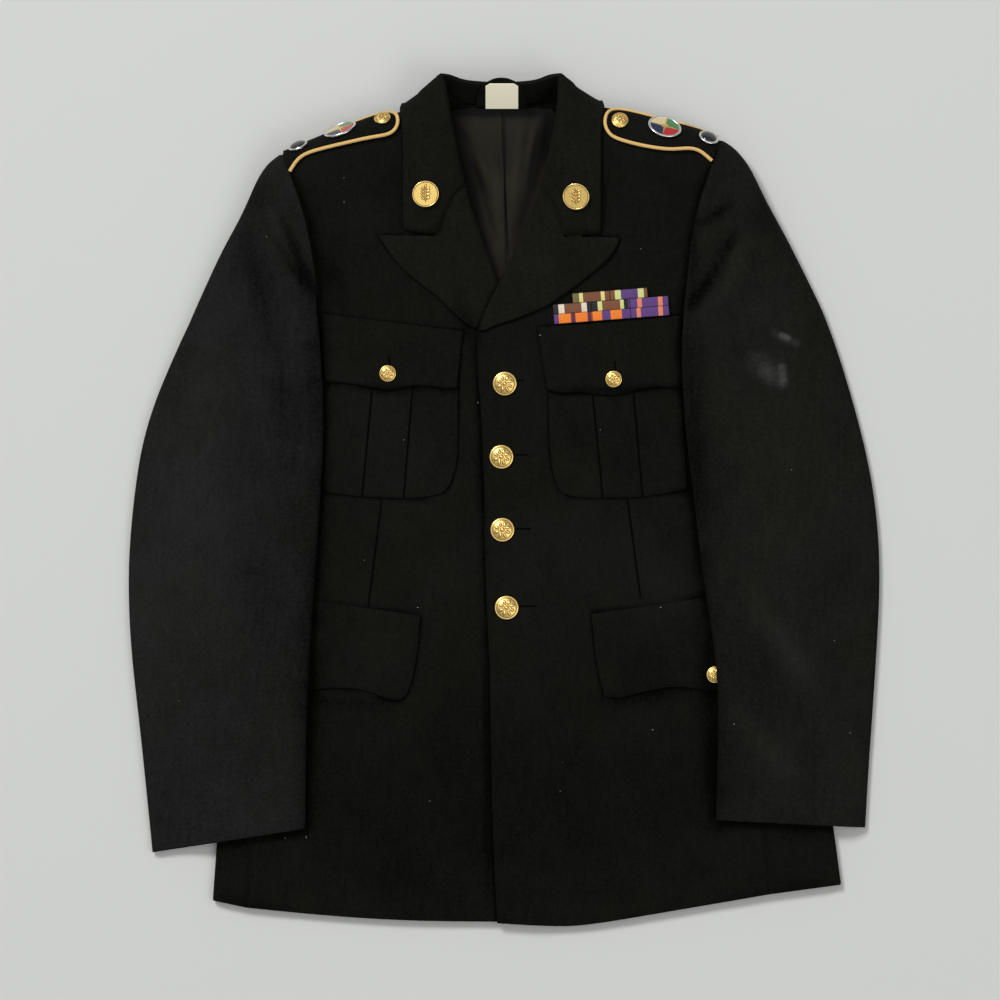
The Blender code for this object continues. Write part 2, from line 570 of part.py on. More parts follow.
def panel(name, plan, height, down=False):
    """A body panel whose side edges are seams and whose last row ends on the shoulder line."""
    grid = with_height(plan, height)
    n = normals(grid, down)
    n[0] = square_off(n[0], grid[0])
    n[-1] = square_off(n[-1], grid[-1])
    on_ridge = np.abs(grid[:, -1, 2] - shoulder_z(grid[:, -1, 0])) < 1.0
    level = level_normals(grid[:, -1], (0.0, 1000.0))
    n[on_ridge, -1] = level[on_ridge]
    return make_wall(name, grid, grid - n * CLOTH, SERGE)


def add_fronts():
    """The two fronts. Each ends just inside its roll line, where the lapel turns over it."""
    for side in ("right", "left"):
        if side == "right":
            outer = side_line(SIDE_SEAM_RIGHT, ARMHOLE_RIGHT)
            low = ((UNDER_EDGE, -400.5), (UNDER_EDGE, -130), (UNDER_EDGE, 120))
            turned = ((UNDER_EDGE, 120),) + tuple((x - ROLL_INSET, y)
                                                  for x, y in ROLL_RIGHT[1:] + NECK_RIGHT)
            hem, height = HEM_RIGHT, body_top
            columns = (0, 0.07, 0.15, 0.24, 0.34, 0.45, 0.57, 0.70, 0.85, 1.0)
        else:
            outer = side_line(SIDE_SEAM_LEFT, ARMHOLE_LEFT)
            low = FRONT_EDGE
            turned = FRONT_BREAK + tuple((x + ROLL_INSET, y) for x, y in ROLL_LEFT[1:] + NECK_LEFT)
            hem, height = HEM_LEFT, left_top
            columns = (0, 0.07, 0.13, 0.18, 0.23, 0.29, 0.36, 0.45, 0.56, 0.69, 0.84, 1.0)
        inner = np.vstack([curve(low, LOW_ROWS), curve(turned, HIGH_ROWS)[1:]])
        columns = np.array(columns)
        bottom = curve(hem, columns)
        bottom[0], bottom[-1] = inner[0], outer[0]
        inner[-1, 1] = shoulder_y(inner[-1, 0])
        outer[-1, 1] = shoulder_y(outer[-1, 0])
        line_x = inner[-1, 0] + (outer[-1, 0] - inner[-1, 0]) * columns
        top = np.column_stack([line_x, shoulder_y(line_x)])
        panel("front_" + side, coons(bottom, top, inner, outer, columns, panel_rows()), height)


def add_side_panels():
    """Each side panel starts at the front's seam, turns round the fold and ends under the body."""
    for side, sign, seam, fold in (("right", -1, SIDE_SEAM_RIGHT, SIDE_FOLD_RIGHT),
                                   ("left", 1, SIDE_SEAM_LEFT, SIDE_FOLD_LEFT)):
        inner = curve(seam, LOW_ROWS) + np.array((sign * (SEAM + 0.2), 0))
        outer = curve(fold, LOW_ROWS)
        grid = []
        for start, end in zip(inner, outer):
            top = float(body_top(start[0], start[1]))
            radius = top / 2
            along = (end - start) / np.linalg.norm(end - start)
            turn = end - along * radius
            section = [(*start, top), (*turn, top)]
            for angle in np.radians((36, 72, 108, 144)):
                plan = turn + along * radius * math.sin(angle)
                section.append((*plan, radius + radius * math.cos(angle)))
            section += [(*turn, 0), (*start, 0)]
            grid.append(section)
        grid = np.array(grid)
        n = np.cross(np.gradient(grid, axis=0), np.gradient(grid, axis=1))
        n /= np.linalg.norm(n, axis=2, keepdims=True)
        if n[0, 0, 2] < 0:
            n = -n
        n[:, 0] = (0, 0, 1)
        n[:, -1] = (0, 0, -1)
        make_wall("side_panel_" + side, grid, grid - n * CLOTH, SERGE)


def add_back():
    """The back lies on the floor, rises over the collar's fall and turns up at the shoulders."""
    left = side_line(SIDE_SEAM_RIGHT, ARMHOLE_RIGHT)
    right = side_line(SIDE_SEAM_LEFT, ARMHOLE_LEFT)
    columns = np.array((0, 0.09, 0.19, 0.28, 0.35, 0.385, 0.44, 0.50,
                        0.56, 0.605, 0.64, 0.72, 0.81, 0.91, 1.0))
    hem = curve(((-243, -387), (-166, -391), (-3, -394), (130, -390), (251.5, -374)), columns)
    hem[0], hem[-1] = left[0], right[0]
    line_x = left[-1, 0] + (right[-1, 0] - left[-1, 0]) * columns
    line_y = shoulder_y(line_x)
    neck = np.abs(line_x + 1.5) < 50.0
    line_y[neck] = BACK_NECK_Y
    top = np.column_stack([line_x, line_y])
    left[-1, 1], right[-1, 1] = line_y[0], line_y[-1]
    panel("back", coons(hem, top, left, right, columns, panel_rows()), back_under, down=True)


def add_lining():
    """The lining of the back where the open neck shows it, with a centre pleat and soft folds."""
    columns = np.array((0, 0.14, 0.28, 0.40, 0.455, 0.485, 0.515, 0.545, 0.62, 0.74, 0.87, 1.0))
    left = curve(((-66, 160), (-96, 230), (-98, 290), (-84, 332), (-54, 352), (-49, 370.6)), 9)
    right = curve(((66, 160), (94, 230), (95, 290), (80, 332), (51, 352), (46, 370.6)), 9)
    bottom = read(((-66, 160), (66, 160)), columns)
    top = read(((-49, 370.6), (46, 370.6)), columns)
    grid = settle(coons(bottom, top, left, right, columns), back_under, ["back"], LAY + 0.3)
    x, y = grid[..., 0], grid[..., 1]
    centre = NECK_CENTRE_X + 0.02 * (371.0 - y)
    shown = ease((y - 195.0) / 60.0)
    pleat = 1.8 * np.exp(-((x - centre) / 3.0) ** 2)
    folds = 1.5 * np.exp(-((x + 24.0) / 9.0) ** 2) + 1.2 * np.exp(-((x - 29.0) / 8.0) ** 2)
    grid[..., 2] += shown * (pleat + folds) * (1.0 - ease((y - 340.0) / 30.0))
    over = grid + (0.0, 0.0, LINING_CLOTH)
    make_wall("back_lining", over, grid, LINING)


# Lapels and collar

def turn_under(roll, sign, top):
    """Inner side of the turn of a lapel, from inside the roll line up and over the front's edge."""
    radius = FOLD_RADIUS
    steps = [(0.0, -radius - 1.7), (0.0, -radius)]
    steps.append((radius * (1 - math.cos(math.radians(45))),
                  -radius * (1 - math.sin(math.radians(45)))))
    return [(roll[0] + sign * (TURNED_CLOTH + s), roll[1], top + z) for s, z in steps]


def add_lapel(side):
    """A lapel turns at its roll line and lies on its front."""
    if side == "right":
        sign, roll, edge, top_line, height = (-1, ROLL_RIGHT, LAPEL_EDGE_RIGHT, LAPEL_TOP_RIGHT,
                                              body_top)
        first = 0.09
    else:
        sign, roll, edge, top_line, height = (1, ROLL_LEFT, LAPEL_EDGE_LEFT, LAPEL_TOP_LEFT,
                                              left_top)
        first = 0.075
    count = 12
    rolls = curve(roll, np.linspace(first, 1, count))
    edges = read(list(edge) + [top_line[-1]], count)
    turn = sign * (TURNED_CLOTH + FOLD_RADIUS)
    start = rolls + np.array((turn, 0))
    top = np.array(top_line, float)
    top[0, 0] += turn
    top[1, 0] += turn * 0.5
    bottom = read((start[0], edges[0]), LAPEL_COLUMNS)
    plan = coons(bottom, top, start, edges, LAPEL_COLUMNS)
    flat = settle(plan, height, ["front_" + side], LAY + 0.2)
    turned = np.array([turn_under(r, sign, z) for r, z in zip(rolls, flat[0, :, 2])])
    under = np.concatenate([turned.transpose(1, 0, 2), flat])
    make_wall("lapel_" + side, under + normals(under) * TURNED_CLOTH, under, SERGE)


def front_height(x, y):
    """Outer face of whichever front lies there."""
    return np.where(np.asarray(x) > 0, left_top(x, y), body_top(x, y))


def collar_rung(row, out, on_front):
    """Middle of the cloth on one rung of the collar: stand seam, stand, fold, fall."""
    fx, fy, fz, ex, ey, ez, tuck, reach, foot = row
    fold = np.array((fx, fy))
    half = FOLD_MIDDLE
    seam = fold - out * (half + reach)
    stand_top = fold - out * half
    points = [(*seam, foot), (*((seam + stand_top) / 2), (foot + fz - half) / 2)]
    for angle in np.radians((0, 50, 90)):
        plan = fold - out * half * math.cos(angle)
        points.append((*plan, fz - half + half * math.sin(angle)))
    edge = np.array((ex, ey))
    for u in COLLAR_COLUMNS[1:]:
        plan = fold + (edge - fold) * u ** max(1.0, tuck * 0.8)
        z = ez + (fz - ez) * (1 - u) ** tuck
        if on_front:
            z = max(z, float(front_height(*plan)) + LAY + TURNED_CLOTH / 2)
        points.append((*plan, z))
    return points


def collar_end(line):
    """First rung of the collar, along the gorge and the collar's short front edge."""
    sign = -1.0 if line[0][0] < 0 else 1.0
    points = [(x, y, float(front_height(x, y)) + LAY + TURNED_CLOTH / 2) for x, y in line]
    x, y, top = points[0]
    start = [(x - sign * FOLD_MIDDLE, y, top - FOLD_MIDDLE - drop) for drop in (2.6, 1.3, 0.0)]
    start.append((x - sign * FOLD_MIDDLE * 0.64, y, top - FOLD_MIDDLE * 0.23))
    return start + points


def add_collar():
    """Stand and fall in one piece. At the back the fall lies under the back panel."""
    rows = list(COLLAR_RIGHT) + [COLLAR_BACK] + list(reversed(COLLAR_LEFT))
    folds = np.array([(r[0], r[1]) for r in rows], float)
    rungs = [collar_end(COLLAR_END_RIGHT)]
    for k, row in enumerate(rows):
        ahead = folds[min(k + 1, len(rows) - 1)] - folds[max(k - 1, 0)]
        out = np.array((-ahead[1], ahead[0])) / np.linalg.norm(ahead)
        rungs.append(collar_rung(row, out, min(k, len(rows) - 1 - k) < 4))
    rungs.append(collar_end(COLLAR_END_LEFT))
    body = ["front_right", "front_left", "lapel_right", "lapel_left"]
    grid = push_clear(np.array(rungs), body, TURNED_CLOTH / 2 + LAY + 0.35)
    grid[..., 2] = np.maximum(grid[..., 2], TURNED_CLOTH / 2)
    n = normals(grid)
    one = grid + n * TURNED_CLOTH / 2
    other = grid - n * TURNED_CLOTH / 2
    one[..., 2] = np.maximum(one[..., 2], 0.0)
    other[..., 2] = np.maximum(other[..., 2], 0.0)
    make_wall("collar", one, other, SERGE)


def stand_point(x, along, off):
    """A point on the inner side of the stand at the centre back: along it, and off its face."""
    foot = np.array((COLLAR_BACK[1] - FOLD_MIDDLE - COLLAR_BACK[7], COLLAR_BACK[8]))
    head = np.array((COLLAR_BACK[1] - FOLD_MIDDLE, COLLAR_BACK[2] - FOLD_MIDDLE))
    direction = (head - foot) / np.linalg.norm(head - foot)
    face = np.array((-direction[1], direction[0]))
    y, z = foot + direction * along + face * (TURNED_CLOTH / 2 + off)
    return x, y, z


def add_neck_patch():
    """Half-round hanging patch on the stand, and the bare label sewn on it."""
    outline = [(PATCH_HALF * math.cos(a), 1.5 + PATCH_HEIGHT * math.sin(a) ** 0.8)
               for a in np.radians(np.linspace(0, 180, 15))]
    low = LAY + 0.3
    faces = [[stand_point(NECK_CENTRE_X + x, along, off) for x, along in outline]
             for off in (low, low + PATCH_CLOTH)]
    make_plate("neck_patch", *faces, PATCH)
    chamfer = 4.0
    outline = [(-LABEL_HALF, 0.5), (LABEL_HALF, 0.5), (LABEL_HALF, LABEL_TOP - chamfer),
               (LABEL_HALF - chamfer, LABEL_TOP), (chamfer - LABEL_HALF, LABEL_TOP),
               (-LABEL_HALF, LABEL_TOP - chamfer)]
    low += PATCH_CLOTH + LAY
    faces = [[stand_point(NECK_CENTRE_X + 0.3 + x, along, off) for x, along in outline]
             for off in (low, low + LABEL_CLOTH)]
    make_plate("label", *faces, LABEL)


# Sleeves

def fold_place(sign, start, end):
    """How far along a sleeve section it crosses the side fold of the body, in mm."""
    table = np.array(SIDE_FOLD_LEFT if sign > 0 else SIDE_FOLD_RIGHT, float)
    fold = np.interp((start[1] + end[1]) / 2, table[:, 1], table[:, 0])
    width = np.linalg.norm(end - start)
    return np.clip((fold - start[0]) / (end[0] - start[0]) * width, 0.30 * width, 0.82 * width)


def section_steps(width, round_in, round_out, fold, close=0.13):
    """Places across a sleeve: close at both folds, and two at the side fold of the body."""
    low, high = round_in, width - round_out
    fold = min(max(fold, low + 6.0), high - 14.0) if high - low > 30.0 else (low + high) / 2
    past = min(fold + 12.0, (fold + high) / 2)
    return np.concatenate([np.array((0, close, (close + 1) / 2, 1)) * round_in,
                           [low + (fold - low) * 0.5, fold, past, (past + high) / 2],
                           width - np.array((1, 0.5, 0.13, 0)) * round_out])


def sleeve_folds(plan):
    """How far the soft folds raise an upper sleeve at some plan points."""
    rise = np.zeros(len(plan))
    for from_x, from_y, to_x, to_y, width, height in SLEEVE_FOLDS:
        start = np.array((from_x, from_y))
        along = np.array((to_x, to_y)) - start
        share = np.clip((plan - start) @ along / (along @ along), 0.0, 1.0)
        away = np.linalg.norm(plan - start - share[:, None] * along, axis=1)
        rise += height * np.exp(-(away / width) ** 2)
    return rise


def head_section(row, start, sign, upper):
    """Section of the sleeve head, from the armhole seam to the outer fold."""
    _, out_x, out_y, mid, out = row
    end = np.array((out_x, out_y))
    width = np.linalg.norm(end - start)
    round_out = min(max(out * 0.8, 4.0), width * 0.75)
    s = section_steps(width, min(9.0, 0.2 * width), round_out, fold_place(sign, start, end), 0.33)
    even = np.linspace(0, width, len(s))
    s = even + (s - even) * ease((width - 20.0) / 40.0)
    plan = start + (end - start) * (s / width)[:, None]
    ridge = float(shoulder_z(start[0]))
    if mid == 0:
        z = np.full(len(s), ridge + (SEAM / 2 if upper else -SEAM / 2))
        return np.column_stack([plan, z])
    t = s / width
    base = float(back_under(start[0], start[1]))
    thick = mid + (out - mid) * ease((t - 0.3) / 0.5)
    crown = base + thick
    seam_top = float(front_height(*start))
    if row[0] == min(r[0] for r in HEAD_LEFT):
        seam_top += CLOTH + LAY
    crown = crown + (seam_top - crown) * (1 - ease(t / 0.4))
    centre = (base + crown) / 2
    shape = rounding(width - s, round_out)
    if upper:
        z = centre + SEAM / 2 + (crown - centre - SEAM / 2) * shape
        z += sleeve_folds(plan) * ease(s / 14.0) * ease((width - s) / 14.0)
    else:
        z = centre - SEAM / 2 - (centre - SEAM / 2 - base) * shape
    return np.column_stack([plan, z])


def arm_section(row, sign, upper, first):
    """Section of the sleeve below the armhole. It rests on the body and then on the floor."""
    in_x, in_y, out_x, out_y, extra, mid, out = row
    start = np.array((in_x, in_y))
    end = np.array((out_x, out_y))
    full = np.linalg.norm(end - start)
    shift = UNDERARM_SHIFT if first and not upper else 0.0
    start = start + (end - start) * (shift / full)
    width = full - shift
    round_out = max(out * 0.8, 7.5)
    round_in = 4.5
    fold = fold_place(sign, start, end)
    s = section_steps(width, round_in, round_out, fold)
    plan = start + (end - start) * (s / width)[:, None]
    t = (s + shift) / full
    thick = mid + (out - mid) * ease((t - 0.3) / 0.5)
    on_body = body_top(plan[:, 0], np.minimum(plan[:, 1], 160.0)) + LAY + 0.4
    past = s - s[5]
    rest = on_body * (1 - ease((past - 4.0) / 28.0))
    base = rest + extra * (1 - ease((t - 0.16) / 0.28))
    if first and not upper:
        base = UNDERARM_HEIGHT * (1 - ease((t - shift / full - 0.25) / 0.35))
        z = base + 3.0 * (1 - rounding(s, round_in))
        return np.column_stack([plan, z])
    crown = base + thick
    if first and upper:
        seam_top = float(front_height(*start)) + CLOTH + LAY + 1.0 + 3.0 * rounding(s, round_in)
        crown = crown + (seam_top - crown) * (1 - ease(t / 0.4))
    centre = (base + crown) / 2
    shape = rounding(width - s, round_out)
    if not first:
        shape = shape * rounding(s, round_in)
    if upper:
        z = centre + SEAM / 2 + (crown - centre - SEAM / 2) * shape
        z += sleeve_folds(plan) * ease(s / 14.0) * ease((width - s) / 14.0)
    else:
        z = centre - SEAM / 2 - (centre - SEAM / 2 - base) * shape
    return np.column_stack([plan, z])


def add_sleeves():
    """Upper and under sleeve of each arm: one flattened tube, open at cuff and armhole."""
    for side, sign, head, arm, armhole in (
            ("right", -1, HEAD_RIGHT, SLEEVE_RIGHT, ARMHOLE_RIGHT),
            ("left", 1, HEAD_LEFT, SLEEVE_LEFT, ARMHOLE_LEFT)):
        seam = curve(armhole, HIGH_ROWS)
        seam[-1, 1] = shoulder_y(seam[-1, 0])
        level = level_normals(np.column_stack([seam, np.zeros(len(seam))]), (sign * 1000.0, 200.0))
        seam = seam + level[:, :2] * (SEAM + 0.5)
        starts = [seam[HIGH_ROWS.index(row[0])] for row in head]
        for part, upper in (("upper", True), ("under", False)):
            sections = [head_section(row, start, sign, upper) for row, start in zip(head, starts)]
            sections += [arm_section(row, sign, upper, k == 0) for k, row in enumerate(arm)]
            grid = np.array(sections)
            n = normals(grid, down=not upper)
            count = len(head)
            across = level_normals(grid[:, 0], (0.0, 0.0))
            outward = level_normals(grid[:, -1], (sign * 1000.0, 0.0))
            far = np.linalg.norm(grid[:, :, :2] - grid[:, :1, :2], axis=2)
            share = (1 - ease(far / 10.0))[..., None]
            squared = n - share * (n * across[:, None]).sum(axis=2, keepdims=True) * across[:, None]
            n[:count] = squared[:count]
            n[count + 1:, 1] += 1.5 * across[count + 1:]
            n[:, -2] += 1.5 * outward
            n /= np.linalg.norm(n, axis=2, keepdims=True)
            n[count + 1:, 0] = across[count + 1:]
            n[:, -1] = outward
            n[0] = outward[0]
            make_wall("sleeve_%s_%s" % (side, part), grid, grid - n * CLOTH, SERGE)


# Pockets and flaps

def add_breast_pockets():
    """Patch pockets whose box pleat stands proud between its two folded edges."""
    for side, sides, height in (("right", POCKET_RIGHT_SIDES, body_top),
                                ("left", POCKET_LEFT_SIDES, left_top)):
        first = min(p[0] for p in sides["bottom"])
        width = abs(sides["bottom"][-1][0] - sides["bottom"][0][0])
        marks = sorted((p[0] - first) / width for p in sides["pleat"])
        step = 0.8 / width
        columns = np.array((0, 0.06, 0.16, marks[0] - step, marks[0] + step,
                            marks[1] - step, marks[1] + step, 0.82, 0.93, 1.0))
        rows = 7
        left = curve(sides["outer"], rows)
        right = curve(sides["inner"], rows)
        bottom = curve(sides["bottom"], columns)
        top = read(sides["top"], columns)
        under = settle(coons(bottom, top, left, right, columns), height, ["front_" + side], LAY)
        over = under + (0.0, 0.0, POCKET_CLOTH)
        over[4:6, :, 2] += PLEAT_RISE
        make_wall("breast_pocket_" + side, over, under, SERGE)


def add_flap(name, edges, height, below, rows, gap):
    """A flap sewn along its top edge, lying on the pieces below it."""
    bottom = curve(edges["bottom"], 13)
    top = read(edges["top"], 13)
    left = smooth_or_straight(edges["left"], rows)
    right = smooth_or_straight(edges["right"], rows)
    under = settle(coons(bottom, top, left, right), height, below, gap)
    make_wall(name, under + (0.0, 0.0, FLAP_CLOTH), under, SERGE)


def smooth_or_straight(points, steps):
    """A curve where there are more than two points, else a straight line."""
    return curve(points, steps) if len(points) > 2 else read(points, steps)


def add_flaps():
    """Four scalloped flaps. The breast flaps ride over their pockets."""
    for side, breast, hip, height in (("right", BREAST_FLAP_RIGHT, HIP_FLAP_RIGHT, body_top),
                                      ("left", BREAST_FLAP_LEFT, HIP_FLAP_LEFT, left_top)):
        front = "front_" + side
        pocket = "breast_pocket_" + side
        add_flap("breast_flap_" + side, breast, height, [front, pocket], 6, LAY + 0.5)
        add_flap("hip_flap_" + side, hip, height, [front], 4, LAY)


# Shoulder straps

def strap_line(x):
    """Cross line of the shoulder at x, from the back over the ridge to the front: its points, the
    distance of each from the strap's inner edge, and its outward normals."""
    step = 4.0
    slope = (shoulder_y(x + step) - shoulder_y(x - step)) / (2 * step)
    inward = np.array((slope, -1.0)) / math.hypot(slope, 1.0)
    origin = np.array((x, shoulder_y(x)))
    angles = np.radians(np.linspace(90, 0, 13))
    ups = RIDGE_TOP * (1 - np.sin(angles))
    downs = RIDGE_UNDER * (1 - np.sin(angles))[1:9][::-1]
    low = origin + inward * downs[:, None]
    high = origin + inward * ups[:, None]
    points = np.vstack([np.column_stack([low, back_under(low[:, 0], low[:, 1])]),
                        np.column_stack([high, body_top(high[:, 0], high[:, 1])])])
    run = np.concatenate([[0], np.cumsum(np.linalg.norm(np.diff(points, axis=0), axis=1))])
    along = np.array((1.0, slope, 0.0)) / math.hypot(1.0, slope)
    n = np.cross(np.gradient(points, axis=0), along)
    n /= np.linalg.norm(n, axis=1)[:, None]
    if n[-1, 2] < 0:
        n = -n
    data = STRAPS["left" if x > 0 else "right"]
    places, depths = zip(*data["inner"])
    depth = np.interp(abs(x - data["neck"]), places, depths)
    inner = np.interp(depth, ups, run[len(low):])
    return points, inner - run, n, along


def strap_point(x, across, lift):
    """A point this far from the strap's inner edge towards the back, and its outward normal."""
    points, away, n, _ = strap_line(x)
    point = np.array([np.interp(across, away[::-1], points[::-1, k]) for k in range(3)])
    normal = np.array([np.interp(across, away[::-1], n[::-1, k]) for k in range(3)])
    normal /= np.linalg.norm(normal)
    return point + normal * lift, normal


def strap_half_width(distance, inset):
    """Half width this far from the strap's neck end, inside its outline by the inset."""
    half = STRAP_WIDTH / 2 - inset
    if distance >= STRAP_TIP:
        return half
    share = (distance - inset) / (STRAP_TIP - inset)
    return half * math.sqrt(max(1.0 - (1.0 - share) ** 2, 0.01))


def strap_slant(distance, length, slant, w):
    """How far a row runs on at w, from -1 on the inner edge to 1 on the outer edge."""
    return slant * (1 - w) / 2 * ease((distance - 60.0) / (length - 60.0))


def add_straps():
    """Shoulder straps over the ridge, each with its gold edging."""
    inset = PIPING_RADIUS * 2 + SEAM + 0.1
    for side, data in STRAPS.items():
        length = abs(data["sleeve"] - data["neck"])
        step = (data["sleeve"] - data["neck"]) / length
        grid = []
        for distance in (inset + 0.4, 6.5, 10.5, 18.0, 32.0, 50.0, 68.0, 79.0, 87.0, 94.0, 100.0,
                         length):
            half = strap_half_width(distance, inset)
            row = []
            for w in np.linspace(-1, 1, 7):
                away = distance + strap_slant(distance, length, data["slant"], w)
                row.append(strap_point(data["neck"] + step * away, STRAP_WIDTH / 2 + half * w,
                                       STRAP_LIFT + STRAP_CLOTH)[0])
            grid.append(row)
        grid = np.array(grid)
        n = normals(grid)
        if n[5, 1, 2] < 0:
            n = -n
        make_wall("shoulder_strap_" + side, grid, grid - n * STRAP_CLOTH, SERGE)
        route = []
        stops = (length, 100.0, 94.0, 87.0, 79.0, 68.0, 50.0, 32.0, 18.0, 11.0, 6.0, 3.2, 2.1)
        for sign, order in ((-1, stops), (1, stops[::-1])):
            for distance in order:
                half = strap_half_width(distance, PIPING_RADIUS)
                away = distance + strap_slant(distance, length, data["slant"], sign)
                route.append(strap_point(data["neck"] + step * away,
                                         STRAP_WIDTH / 2 + sign * half,
                                         STRAP_LIFT + PIPING_RADIUS)[0])
        make_tube("piping_" + side, np.array(route), PIPING_RADIUS, BRAID)


def make_tube(name, route, radius, colour, sides=7):
    """Round tube along a route, with flat ends."""
    tangents = np.gradient(route, axis=0)
    tangents /= np.linalg.norm(tangents, axis=1)[:, None]
    verts = []
    up = np.array((0.0, 0.0, 1.0))
    for point, tangent in zip(route, tangents):
        side = np.cross(tangent, up)
        side /= np.linalg.norm(side)
        up = np.cross(side, tangent)
        for k in range(sides):
            angle = 2 * math.pi * k / sides
            verts.append(point + radius * (math.cos(angle) * side + math.sin(angle) * up))
    faces = [tuple(reversed(range(sides)))]
    for j in range(len(route) - 1):
        for k in range(sides):
            a, b = j * sides + k, j * sides + (k + 1) % sides
            faces.append((a, b, b + sides, a + sides))
    last = (len(route) - 1) * sides
    faces.append(tuple(last + k for k in range(sides)))
    return make_object(name, verts, faces, colour)


# Metal

def make_round(name, place, normal, profile, colour, segments, squash=1.0, along=None):
    """Turned piece: profile rows of radius and height, from its flat back to its top."""
    normal = Vector(normal).normalized()
    east = Vector(along) if along is not None else Vector((1, 0, 0))
    north = normal.cross(east).normalized()
    east = north.cross(normal)
    place = Vector(place)
    verts, faces = [], [tuple(reversed(range(segments)))]
    for radius, height in profile:
        for k in range(segments):
            angle = 2 * math.pi * k / segments
            verts.append(place + east * (radius * math.cos(angle))
                         + north * (radius * squash * math.sin(angle)) + normal * height)
    verts.append(place + normal * (profile[-1][1] + 0.2))
    for j in range(len(profile) - 1):
        for k in range(segments):
            a, b = j * segments + k, j * segments + (k + 1) % segments
            faces.append((a, b, b + segments, a + segments))
    base = (len(profile) - 1) * segments
    for k in range(segments):
        faces.append((base + k, base + (k + 1) % segments, len(verts) - 1))
    return make_object(name, [tuple(v) for v in verts], faces, colour)


def button_profile(radius, height):
    """Domed button with a rolled rim and a narrower seat."""
    return ((radius * 0.70, 0.0), (radius, 1.4), (radius * 0.96, 2.3),
            (radius * 0.78, height * 0.83), (radius * 0.42, height * 0.97))


def seat(names, place, normal, radius, squash=1.0):
    """Where a disc of this radius comes to rest on some pieces, moved along its normal."""
    trees = [tree_of(name) for name in names]
    normal = Vector(normal).normalized()
    frame = normal.to_track_quat("Z", "Y").to_matrix()
    far = 60.0
    nearest = 1000.0
    for share in (0.0, 0.5, 1.0):
        for angle in np.radians(np.arange(0, 360, 30)):
            offset = frame @ Vector((radius * share * math.cos(angle),
                                     radius * share * math.sin(angle), far))
            start = metres(*(Vector(place) + offset))
            for tree in trees:
                distance = tree.ray_cast(start, -normal)[3]
                if distance is not None:
                    nearest = min(nearest, distance / MM)
    return Vector(place) + normal * (far - nearest + LAY), normal


def flat_seat(names, x, y, radius):
    """Rest and normal of a disc laid on some pieces from above."""
    step = radius * 0.8
    plan = np.array([[(x - step, y), (x + step, y), (x, y - step), (x, y + step), (x, y)]])
    west, east, south, north, centre = tops([tree_of(name) for name in names], plan)[0]
    normal = ((west - east) / (2 * step), (south - north) / (2 * step), 1.0)
    return seat(names, (x, y, centre), normal, radius)


def add_metal():
    """Buttons, collar discs, badges and studs, each seated on the cloth below it."""
    large = button_profile(BUTTON_LARGE, 5.6)
    small = button_profile(BUTTON_SMALL, 4.2)
    for number, (x, y) in enumerate(FRONT_BUTTONS, 1):
        rest = flat_seat(["front_left"], x, y, BUTTON_LARGE * 0.7)
        make_round("front_button_%d" % number, *rest, large, GOLD, 20)
    for kind, places in (("breast", BREAST_BUTTONS), ("hip", HIP_BUTTONS)):
        for side, (x, y) in places.items():
            rest = flat_seat(["%s_flap_%s" % (kind, side)], x, y, BUTTON_SMALL * 0.7)
            make_round("%s_button_%s" % (kind, side), *rest, small, GOLD, 16)
    disc = ((DISC_RADIUS * 0.92, 0.0), (DISC_RADIUS, 0.8), (DISC_RADIUS * 0.95, 2.2),
            (DISC_RADIUS * 0.86, 1.8), (DISC_RADIUS * 0.5, 2.1))
    for side, (x, y) in COLLAR_DISCS.items():
        rest = flat_seat(["collar"], x, y, DISC_RADIUS * 0.92)
        make_round("collar_disc_" + side, *rest, disc, GOLD, 24)
    badge = ((0.94, 0.0), (1.0, 0.7), (0.97, 1.9), (0.88, 1.6), (0.5, 1.9))
    stud = ((0.9, 0.0), (1.0, 0.8), (0.9, 2.2), (0.62, 3.2), (0.3, 3.8))
    for side, data in STRAPS.items():
        below = ["shoulder_strap_" + side]
        button_across, badge_across, stud_across = data["across"]
        rest = seat(below, *strap_point(data["button"], button_across, 0.0), BUTTON_SMALL * 0.7)
        make_round("strap_button_" + side, *rest, small, GOLD, 16)
        rest = seat(below, *strap_point(data["badge"], badge_across, 0.0), BADGE_HALF[1])
        make_round("strap_badge_" + side, *rest, [(r * BADGE_HALF[0], h) for r, h in badge],
                   ENAMEL, 24, BADGE_HALF[1] / BADGE_HALF[0], strap_line(data["badge"])[3])
        rest = seat(below, *strap_point(data["stud"], stud_across, 0.0), STUD_RADIUS * 0.9)
        make_round("strap_stud_" + side, *rest, [(r * STUD_RADIUS, h) for r, h in stud],
                   BLACK_METAL, 18)


